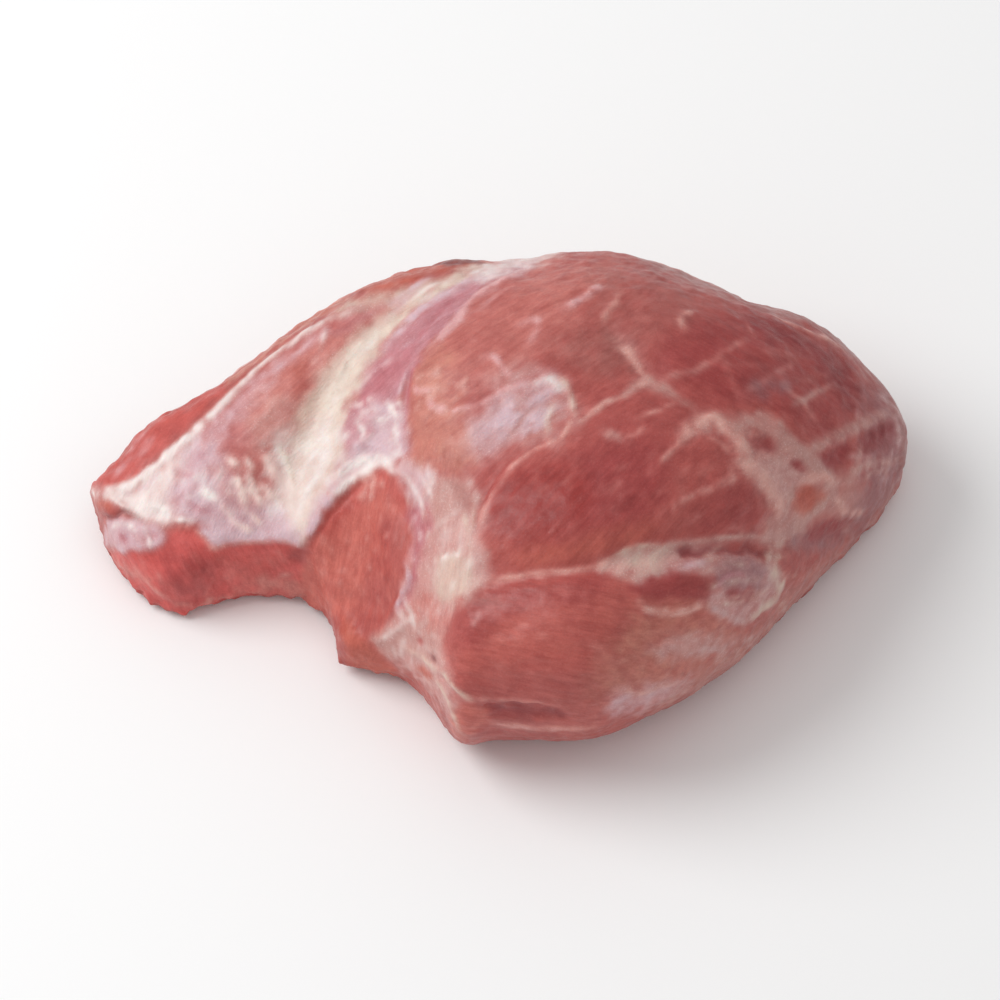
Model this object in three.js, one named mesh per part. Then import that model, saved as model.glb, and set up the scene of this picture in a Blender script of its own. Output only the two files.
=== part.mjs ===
// A raw boneless pork leg: one trimmed lump of meat without rind or bone, lying on its flat underside.
// Millimetres, +Z up, +X towards the thick round end, +Y towards the back. The origin is below the middle
// of the box around it, on the surface that the meat lies on.
//
// The form is a field that is negative inside the meat. A row of rounded sections along X gives the lump,
// each fitted between the upper and lower edge of one outline. Then come the muscles that stand proud, the
// seams between them, the hollow of the thigh bone, the upright cut at the front left and the flat
// underside. The surface where the field is zero is meshed with small faces.
import * as THREE from "three";

// Driving sizes
const TIP_X = -189; // the thin end
const END_X = 189; // the round end
const OUTLINE_TILT = 55; // degrees: the outline is seen from the front, this far above the table
const FULLNESS = 2.35; // exponent of a section: 2 is an ellipse, more is boxier
const SLUMP = 0.24; // how much of a section's half height the meat's own weight flattens underneath
const STEEPEST_SECTION = 0.8; // the largest share of the outline's half width that a section's height takes
const FACE = 6.5; // length of a face's side in the mesh
const LEVEL = 28; // the outline's zero line lies this far above the middle of the table
const MESH_BOX = { front: -150, back: 160, top: 140 }; // the meat lies inside this, from the table up

const sinTilt = Math.sin(THREE.MathUtils.degToRad(OUTLINE_TILT));
const cosTilt = Math.cos(THREE.MathUtils.degToRad(OUTLINE_TILT));

// The whole outline before the knife cuts, from the thin tip over the back to the round end and home along
// the front: [x, how far up the picture].
const OUTLINE = [
  [TIP_X, 0], [-175, 13], [-152, 35], [-128, 46], [-102, 67], [-74, 86], [-46, 98], [-20, 106],
  [-3, 105], [20, 107], [44, 110], [70, 106], [100, 95], [114, 89], [140, 82], [158, 67],
  [176, 49], [END_X, 28], [184, 4], [164, -20], [150, -33], [136, -47], [108, -74], [68, -97],
  [40, -107], [2, -107], [-12, -110], [-24, -96], [-32, -84], [-42, -79], [-66, -79], [-100, -80],
  [-140, -70], [-168, -48], [-181, -20],
];

// Height of the crest above the table: [x, height].
const CREST = [
  [TIP_X, 22], [-165, 36], [-135, 46], [-100, 57], [-60, 80], [-20, 103], [30, 119], [75, 120],
  [115, 108], [150, 84], [172, 62], [END_X, 44],
];

// Where the upright cut along the front left meets the table: [x, how far up the picture].
const FRONT_CUT = [
  [-190, 2], [-180, -6], [-172, -27], [-164, -40], [-150, -52], [-138, -56], [-118, -50], [-96, -49],
  [-84, -50], [-76, -54], [-70, -66], [-67, -90], [-60, -200],
];
const CUT_LEAN = 0.12; // how far the cut leans back for each millimetre that it rises
const CUT_EDGE = 5; // rounding where a cut meets the outside
const UNDERSIDE_EDGE = 7; // rounding where the meat leaves the table
const END_EDGE = 10; // rounding at the two ends of the row of sections
const TURN_AWAY = 12; // the seen side's relief gives way to the far side's over twice this depth

// How much the slab at the thin end rises towards the back, for each millimetre: [x, rise].
const RISE_TO_BACK = [
  [TIP_X, 0.25], [-120, 0.38], [-70, 0.28], [-20, 0.08], [20, 0], [END_X, 0],
];

// The hollow beside the cut, where the thigh bone came out: it widens from its top to its foot, both
// [x, how far up the picture], and fades out below the foot.
const BONE_HOLLOW = {
  top: [-56, 18],
  foot: [-67, -44],
  topRadius: 6,
  footRadius: 26,
  depth: 16,
  fade: 18,
};

// Grooves between muscles, seen as the outline is: [x, up] points, then width and depth of the groove.
const GROOVES = [
  { points: [[-98, -26], [-84, 16], [-66, 54], [-36, 84], [-2, 106]], width: 14, depth: 9 },
  { points: [[-16, -36], [-8, 2], [2, 18], [22, 31], [46, 45], [68, 53], [88, 56]], width: 10, depth: 4 },
  { points: [[44, 92], [68, 53], [88, 43], [106, 36], [124, 22], [140, -8]], width: 10, depth: 4 },
  {
    points: [[-24, -36], [14, -34], [45, -31], [68, -25], [92, -20], [130, -17], [170, -14]],
    width: 10,
    depth: 5,
  },
  { points: [[-34, 52], [-46, 22], [-42, 2], [-30, -14], [-18, -36], [-30, -62]], width: 10, depth: 4 },
];

// Grooves on the far side, seen level from behind: [x, height].
const REAR_GROOVES = [
  {
    points: [[-150, 12], [-95, 20], [-40, 29], [10, 35], [60, 33], [110, 24], [150, 24]],
    width: 10,
    depth: 5,
  },
  { points: [[-34, 62], [-20, 52], [0, 34], [22, 10], [30, 0]], width: 11, depth: 4 },
  { points: [[74, 62], [86, 50], [94, 34], [96, 16], [90, 0]], width: 11, depth: 4 },
];

// Muscles that stand proud of the lump: middle [x, up], half length, half width, turn in degrees, rise.
const BELLIES = [
  { middle: [-84, 46], reach: [78, 17], turn: 42, rise: 6 },
  { middle: [4, 78], reach: [52, 22], turn: 38, rise: 4 },
  { middle: [46, 2], reach: [60, 26], turn: 8, rise: 4 },
  { middle: [34, -72], reach: [62, 26], turn: -4, rise: 5 },
  { middle: [108, 62], reach: [62, 26], turn: -26, rise: 4 },
  { middle: [122, -30], reach: [40, 14], turn: 20, rise: 3 },
];

// A smooth curve through [x, value] points, read as a function of x.
function profile(points) {
  const curve = new THREE.CatmullRomCurve3(
    points.map(([x, value]) => new THREE.Vector3(x, value, 0)),
    false,
    "centripetal",
  );
  const samples = curve.getPoints(points.length * 12);
  return (x) => {
    const next = samples.findIndex((sample) => sample.x >= x);
    if (next === 0) return samples[0].y;
    if (next < 0) return samples.at(-1).y;
    const [before, after] = [samples[next - 1], samples[next]];
    const share = (x - before.x) / (after.x - before.x);
    return before.y + share * (after.y - before.y);
  };
}

// The larger of two distances, with a rounded edge where they meet.
function roundedMax(a, b, radius) {
  const blend = Math.max(radius - Math.abs(a - b), 0) / radius;
  return Math.max(a, b) + (blend * blend * radius) / 4;
}

// The lowest and highest point of the closed outline at x.
function outlineSpan(points) {
  const curve = new THREE.CatmullRomCurve3(
    points.map(([x, up]) => new THREE.Vector3(x, up, 0)),
    true,
    "centripetal",
  );
  const ring = curve.getPoints(points.length * 10);
  return (x) => {
    let [low, high] = [Infinity, -Infinity];
    for (let i = 1; i < ring.length; i++) {
      const [a, b] = [ring[i - 1], ring[i]];
      if ((a.x - x) * (b.x - x) > 0 || a.x === b.x) continue;
      const up = a.y + ((x - a.x) / (b.x - a.x)) * (b.y - a.y);
      low = Math.min(low, up);
      high = Math.max(high, up);
    }
    return { low, high };
  };
}

const crestAt = profile(CREST);
const riseAt = profile(RISE_TO_BACK);
const spanAt = outlineSpan(OUTLINE);
const dual = FULLNESS / (FULLNESS - 1);

// One section: its middle, half depth, half height and rise, so that it just fills the outline there.
function fitSection(x) {
  const { low, high } = spanAt(x);
  const half = Math.max((high - low) / 2, 0.01);
  const crest = crestAt(x);
  const rise = riseAt(x);
  const halfHeight = Math.min(crest / (2 - SLUMP), (STEEPEST_SECTION * half) / cosTilt);
  const left = half ** dual - (halfHeight * cosTilt) ** dual;
  const halfDepth = left ** (1 / dual) / (sinTilt + rise * cosTilt);
  const z = crest - halfHeight;
  const y = ((low + high) / 2 + LEVEL - z * cosTilt) / sinTilt;
  return { y, z, halfDepth, halfHeight, rise };
}

const SECTION_STEP = 1;
const FIRST_SECTION = TIP_X + SECTION_STEP / 2;
const sections = [];
for (let x = FIRST_SECTION; x < END_X; x += SECTION_STEP) sections.push(fitSection(x));

// The section at any x, between two that were fitted.
function sectionAt(x) {
  const place = THREE.MathUtils.clamp((x - FIRST_SECTION) / SECTION_STEP, 0, sections.length - 1.001);
  const [a, b] = [sections[Math.floor(place)], sections[Math.floor(place) + 1]];
  const share = place - Math.floor(place);
  const mixed = {};
  for (const key of Object.keys(a)) mixed[key] = a[key] + share * (b[key] - a[key]);
  return mixed;
}

// 1 on the lump's surface, less inside and more outside.
function lumpLevel(x, y, z) {
  const section = sectionAt(x);
  const across = Math.abs(y - section.y) / section.halfDepth;
  const up = Math.abs(z - section.z - section.rise * (y - section.y)) / section.halfHeight;
  return (across ** FULLNESS + up ** FULLNESS) ** (1 / FULLNESS);
}

// Distance to the lump's surface in millimetres, from the level and how fast it changes.
function lump(x, y, z) {
  const step = 0.5;
  const level = lumpLevel(x, y, z);
  const slope = Math.hypot(
    lumpLevel(x + step, y, z) - lumpLevel(x - step, y, z),
    lumpLevel(x, y + step, z) - lumpLevel(x, y - step, z),
    lumpLevel(x, y, z + step) - lumpLevel(x, y, z - step),
  ) / (2 * step);
  const beyond = Math.max(TIP_X - x, x - END_X);
  return roundedMax((level - 1) / Math.max(slope, 1e-4), beyond, END_EDGE);
}

// A place as the outline shows it: [x, how far up the picture].
const seenFromFront = (x, y, z) => [x, y * sinTilt + z * cosTilt - LEVEL];

// Shortest distance from a seen place to a chain of points, and how far along the chain that is, 0 to 1.
function nearestOnChain([x, up], chain) {
  const nearest = { distance: Infinity, along: 0 };
  for (let i = 1; i < chain.length; i++) {
    const [a, b] = [chain[i - 1], chain[i]];
    const [dx, dy] = [b.x - a.x, b.y - a.y];
    const share = THREE.MathUtils.clamp(((x - a.x) * dx + (up - a.y) * dy) / (dx * dx + dy * dy), 0, 1);
    const distance = Math.hypot(x - a.x - share * dx, up - a.y - share * dy);
    if (distance > nearest.distance) continue;
    nearest.distance = distance;
    nearest.along = (i - 1 + share) / (chain.length - 1);
  }
  return nearest;
}

const CHAIN_STEPS = 5;
function smoothed(grooves) {
  return grooves.map((groove) => ({
    ...groove,
    chain: new THREE.SplineCurve(groove.points.map(([x, up]) => new THREE.Vector2(x, up)))
      .getPoints(groove.points.length * CHAIN_STEPS),
  }));
}

const frontGrooves = smoothed(GROOVES);
const rearGrooves = smoothed(REAR_GROOVES);

function grooveDepth(place, grooves) {
  let depth = 0;
  for (const groove of grooves) {
    const { distance, along } = nearestOnChain(place, groove.chain);
    const fade = 1 - Math.abs(2 * along - 1) ** 4;
    depth = Math.max(depth, fade * groove.depth * Math.exp(-((distance / groove.width) ** 2)));
  }
  return depth;
}

function bellyRise([x, up]) {
  let rise = 0;
  for (const belly of BELLIES) {
    const turn = THREE.MathUtils.degToRad(belly.turn);
    const [dx, dy] = [x - belly.middle[0], up - belly.middle[1]];
    const along = (dx * Math.cos(turn) + dy * Math.sin(turn)) / belly.reach[0];
    const across = (dy * Math.cos(turn) - dx * Math.sin(turn)) / belly.reach[1];
    rise += belly.rise * Math.exp(-(along * along + across * across));
  }
  return rise;
}

// How far a place lies on the seen side of the lump: 1 in front, 0 behind.
function frontShare(x, y, z) {
  const section = sectionAt(x);
  const towards = (z - section.z) * sinTilt - (y - section.y) * cosTilt;
  return THREE.MathUtils.smoothstep(towards, -TURN_AWAY, TURN_AWAY);
}

// The muscles and the seams between them, as a change of the surface's height.
function relief(x, y, z) {
  const front = frontShare(x, y, z);
  const seen = seenFromFront(x, y, z);
  const raised = front > 0 ? bellyRise(seen) - grooveDepth(seen, frontGrooves) : 0;
  const rear = front < 1 ? -grooveDepth([x, z], rearGrooves) : 0;
  return front * raised + (1 - front) * rear;
}

// The upright cut at the front left: positive in front of it, where the meat is gone.
const cutFootAt = profile(FRONT_CUT.map(([x, up]) => [x, (up + LEVEL) / sinTilt]));
function frontCut(x, y, z) {
  const slope = cutFootAt(x + 1) - cutFootAt(x - 1);
  return (cutFootAt(x) + CUT_LEAN * z - y) / Math.hypot(1, CUT_LEAN, slope / 2);
}

// How deep the bone hollow is sunk into the seen side at a place.
function boneHollow(x, y, z) {
  const { top, foot, topRadius, footRadius, depth, fade } = BONE_HOLLOW;
  const [seenX, up] = seenFromFront(x, y, z);
  const share = THREE.MathUtils.clamp((top[1] - up) / (top[1] - foot[1]), 0, 1);
  const axisX = top[0] + share * (foot[0] - top[0]);
  const radius = topRadius + share * (footRadius - topRadius);
  const beside = (seenX - axisX) / radius;
  const beyond = Math.max((up - top[1]) / topRadius, (foot[1] - up) / fade, 0);
  return depth * (radius / footRadius) * Math.max(1 - beside * beside - beyond * beyond, 0);
}

function meat(x, y, z) {
  let distance = lump(x, y, z) - relief(x, y, z);
  distance += boneHollow(x, y, z) * frontShare(x, y, z);
  distance = roundedMax(distance, frontCut(x, y, z), CUT_EDGE);
  return roundedMax(distance, -z, UNDERSIDE_EDGE);
}

function gradient(field, x, y, z) {
  const step = 0.4;
  return new THREE.Vector3(
    field(x + step, y, z) - field(x - step, y, z),
    field(x, y + step, z) - field(x, y - step, z),
    field(x, y, z + step) - field(x, y, z - step),
  ).divideScalar(2 * step);
}

// Moves a point onto the surface where the field is zero.
function settle(field, point) {
  for (let i = 0; i < 3; i++) {
    const slope = gradient(field, point.x, point.y, point.z);
    const distance = field(point.x, point.y, point.z);
    point.addScaledVector(slope, -distance / Math.max(slope.lengthSq(), 0.2));
  }
  return point;
}

// Meshes the zero surface of a field inside a box: one vertex in each cube that the surface crosses, and
// one four-sided face across each edge that it crosses.
function meshField(field, box, side) {
  const size = box.getSize(new THREE.Vector3());
  const counts = [size.x, size.y, size.z].map((length) => Math.ceil(length / side) + 1);
  const [nx, ny, nz] = counts;
  const cornerIndex = (i, j, k) => i + nx * (j + ny * k);
  const at = (i, j, k) => [box.min.x + i * side, box.min.y + j * side, box.min.z + k * side];
  const values = new Float64Array(nx * ny * nz);
  for (let k = 0; k < nz; k++)
    for (let j = 0; j < ny; j++)
      for (let i = 0; i < nx; i++) values[cornerIndex(i, j, k)] = field(...at(i, j, k));

  const points = [];
  const vertexOf = new Map();
  for (let k = 0; k < nz - 1; k++)
    for (let j = 0; j < ny - 1; j++)
      for (let i = 0; i < nx - 1; i++) {
        const crossings = crossingsOf(values, cornerIndex, at, i, j, k);
        if (!crossings.length) continue;
        const middle = new THREE.Vector3();
        for (const crossing of crossings) middle.add(crossing);
        vertexOf.set(cornerIndex(i, j, k), points.length);
        points.push(middle.divideScalar(crossings.length));
      }

  const faces = [];
  const strides = [[1, 0, 0], [0, 1, 0], [0, 0, 1]];
  for (let k = 1; k < nz - 1; k++)
    for (let j = 1; j < ny - 1; j++)
      for (let i = 1; i < nx - 1; i++)
        strides.forEach((stride, axis) => {
          const here = values[cornerIndex(i, j, k)] < 0;
          const there = values[cornerIndex(i + stride[0], j + stride[1], k + stride[2])] < 0;
          if (here === there) return;
          const [u, v] = [strides[(axis + 1) % 3], strides[(axis + 2) % 3]];
          const back = (a, b, n) => a * u[n] + b * v[n];
          const corner = (a, b) =>
            vertexOf.get(cornerIndex(i - back(a, b, 0), j - back(a, b, 1), k - back(a, b, 2)));
          const ring = [corner(0, 0), corner(1, 0), corner(1, 1), corner(0, 1)];
          faces.push(here ? ring : ring.reverse());
        });
  return { points, faces };
}

// Where the surface crosses the twelve edges of one cube.
function crossingsOf(values, cornerIndex, at, i, j, k) {
  const corners = [];
  for (let n = 0; n < 8; n++) corners.push([i + (n & 1), j + ((n >> 1) & 1), k + (n >> 2)]);
  const crossings = [];
  for (let a = 0; a < 8; a++)
    for (const bit of [1, 2, 4]) {
      if (a & bit) continue;
      const [low, high] = [values[cornerIndex(...corners[a])], values[cornerIndex(...corners[a | bit])]];
      if (low < 0 === high < 0) continue;
      const from = new THREE.Vector3(...at(...corners[a]));
      crossings.push(from.lerp(new THREE.Vector3(...at(...corners[a | bit])), low / (low - high)));
    }
  return crossings;
}

// Evens the faces out: each point moves towards the middle of its neighbours and back onto the surface.
function relax(field, points, faces, rounds) {
  const neighbours = points.map(() => new Set());
  for (const ring of faces)
    ring.forEach((from, i) => {
      const to = ring[(i + 1) % ring.length];
      neighbours[from].add(to);
      neighbours[to].add(from);
    });
  for (let round = 0; round < rounds; round++) {
    const middles = points.map((_, i) => {
      const middle = new THREE.Vector3();
      for (const n of neighbours[i]) middle.add(points[n]);
      return middle.divideScalar(neighbours[i].size);
    });
    points.forEach((point, i) => settle(field, point.lerp(middles[i], 0.5)));
  }
}

function meatGeometry() {
  const box = new THREE.Box3(
    new THREE.Vector3(TIP_X - 2 * FACE, MESH_BOX.front, -1.5 * FACE),
    new THREE.Vector3(END_X + 2 * FACE, MESH_BOX.back, MESH_BOX.top),
  );
  const { points, faces } = meshField(meat, box, FACE);
  for (const point of points) settle(meat, point);
  relax(meat, points, faces, 2);
  const geometry = new THREE.BufferGeometry().setFromPoints(points);
  const shorter = (a, b, c, d) => points[a].distanceTo(points[c]) < points[b].distanceTo(points[d]);
  geometry.setIndex(
    faces.flatMap(([a, b, c, d]) => (shorter(a, b, c, d) ? [a, b, c, a, c, d] : [a, b, d, b, c, d])),
  );
  geometry.computeBoundingBox();
  const { min, max } = geometry.boundingBox;
  return geometry.translate(-(min.x + max.x) / 2, -(min.y + max.y) / 2, -min.z);
}

const rawMeat = new THREE.MeshStandardMaterial({ color: 0xb0645c, roughness: 0.45, metalness: 0 });

const porkLeg = new THREE.Mesh(meatGeometry(), rawMeat);
porkLeg.name = "pork_leg";

const part = new THREE.Group();
part.add(porkLeg);

export default part;
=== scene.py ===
import math
import random

import bmesh
import bpy
import numpy as np
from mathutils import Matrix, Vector, noise
from mathutils.bvhtree import BVHTree


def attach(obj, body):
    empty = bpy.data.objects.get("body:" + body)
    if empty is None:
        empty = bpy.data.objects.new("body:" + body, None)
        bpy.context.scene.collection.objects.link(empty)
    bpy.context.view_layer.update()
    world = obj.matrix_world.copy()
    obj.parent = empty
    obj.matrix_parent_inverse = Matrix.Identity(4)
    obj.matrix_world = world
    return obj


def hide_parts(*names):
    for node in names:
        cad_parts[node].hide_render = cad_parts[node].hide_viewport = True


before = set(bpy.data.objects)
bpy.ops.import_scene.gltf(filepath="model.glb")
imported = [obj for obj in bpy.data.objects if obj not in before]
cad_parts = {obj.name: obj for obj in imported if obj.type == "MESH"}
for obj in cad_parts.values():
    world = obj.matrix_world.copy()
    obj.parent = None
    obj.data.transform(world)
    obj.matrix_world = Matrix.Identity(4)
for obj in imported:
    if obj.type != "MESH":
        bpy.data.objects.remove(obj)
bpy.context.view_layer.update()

# Sizes. Lengths are in millimetres until they reach Blender, and places on a picture in pixels.
MM = 0.001
FRAME_PX = 1000
MM_PER_PX = 0.4438
CAMERA_LENS = 600.0
CAMERA_SENSOR = 36.0
CAMERA_DISTANCE = FRAME_PX * MM_PER_PX * CAMERA_LENS / CAMERA_SENSOR
FRONT_VIEW = {"azimuth": 0.0, "elevation": 55.0, "middle": (499.5, 498.0)}
BACK_VIEW = {"azimuth": 180.0, "elevation": 22.0, "middle": (500.0, 500.0)}

# The mesh. A face is underside or hidden where its normal's part along up, or towards the camera, is less
# than this. Points nearer to the table than ON_TABLE stay where they are.
CORNER = math.radians(60)
UNDERSIDE = -0.9
HIDDEN = -0.12
UNDERSIDE_CUTS = 1
HIDDEN_CUTS = 2
SEEN_CUTS = 4
EVEN_POINTS_ROUNDS = 26
EVEN_PAINT_ROUNDS = 2
EVEN_RISE_ROUNDS = 1
ON_TABLE = 0.02

# Relief all over: ropes along the fibres, a broad swell, and roughness, with more on pale film and low down.
# It fades in over the first heights above the table, and the low edge is ragged up to its height.
ROPES_RISE = 0.3
SWELL_RISE = 0.9
ROUGH_RISE = 0.35
PALE_ROUGH_RISE = 0.3
LOW_ROUGH_RISE = 1.2
LOW_EDGE_SHIFT = 1.5
FADE_IN = (0.3, 6.0)
LOW_EDGE = (3.0, 16.0)

# The marks: how far their edges wander, how far a thread rises, how dense the lit meat is, between which
# cosines to the view the marks of a side fade in, and between which green values, 0 to 1, paint turns pale.
WASH_WANDER = 2.2
STROKE_WANDER = 0.6
THREAD_RISE = 0.12
LIT_MEAT = 0.35
FRONT_EDGE = (-0.02, 0.10)
BACK_EDGE = (0.0, 0.3)
PALE_GREEN = (0.40, 0.74)

# The material. The sheen is the light that the wet surface throws back on top of the paint, so the paint is
# that much darker, but no darker than DARKEST. The streaks' shades multiply the paint.
SHEEN = 0.010
DARKEST = 0.005
DARK_STREAKS = (0.82, 0.70, 0.70, 1)
LIGHT_STREAKS = (1.16, 1.26, 1.24, 1)
HAZE = (0.80, 0.62, 0.58, 1)
WET_SURFACE = {
    "Subsurface Weight": 0.15,
    "Subsurface Radius": (1.0, 0.35, 0.25),
    "Subsurface Scale": 0.003,
    "Specular IOR Level": 0.34,
    "Coat Weight": 0.07,
    "Coat Roughness": 0.2,
}

# The studio, in metres.
FLOOR_REACH = 4.0
FLOOR_COLOUR = (0.97, 0.97, 0.97, 1)
FLOOR_ROUGHNESS = 0.9
SKY_STRENGTH = 0.60
KEY_LIGHT = {"place": (-1.5, 0.3, 1.6), "size": 1.6, "power": 28.0}

# Colours as they look in soft daylight, red, green and blue from 0 to 255.
PALETTE = {
    "red": (170, 82, 78),
    "vivid": (190, 86, 80),
    "deep": (156, 66, 66),
    "dark": (140, 56, 58),
    "glow": (196, 104, 94),
    "orange": (188, 96, 82),
    "brown": (199, 121, 113),
    "dull": (166, 102, 96),
    "cut": (204, 92, 88),
    "web": (194, 144, 137),
    "wine": (184, 106, 114),
    "pink": (210, 142, 134),
    "thread": (218, 162, 152),
    "lilac": (192, 130, 138),
    "lavender": (214, 182, 190),
    "film": (204, 162, 160),
    "rose": (206, 156, 150),
    "tawny": (196, 126, 110),
    "tan": (215, 186, 172),
    "cream": (231, 214, 200),
    "blush": (222, 168, 168),
    # shine is used only for painted glints.
    "shine": (246, 218, 210),
    "white": (240, 228, 224),
    # grey is used only for painted shade on the far rims.
    "shade grey": (170, 124, 120),
    "mauve": (152, 104, 108),
    "vein": (150, 50, 46),
    # crevice is painted shade for cracks, holes and corners.
    "crevice shade": (112, 50, 50),
}
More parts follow.
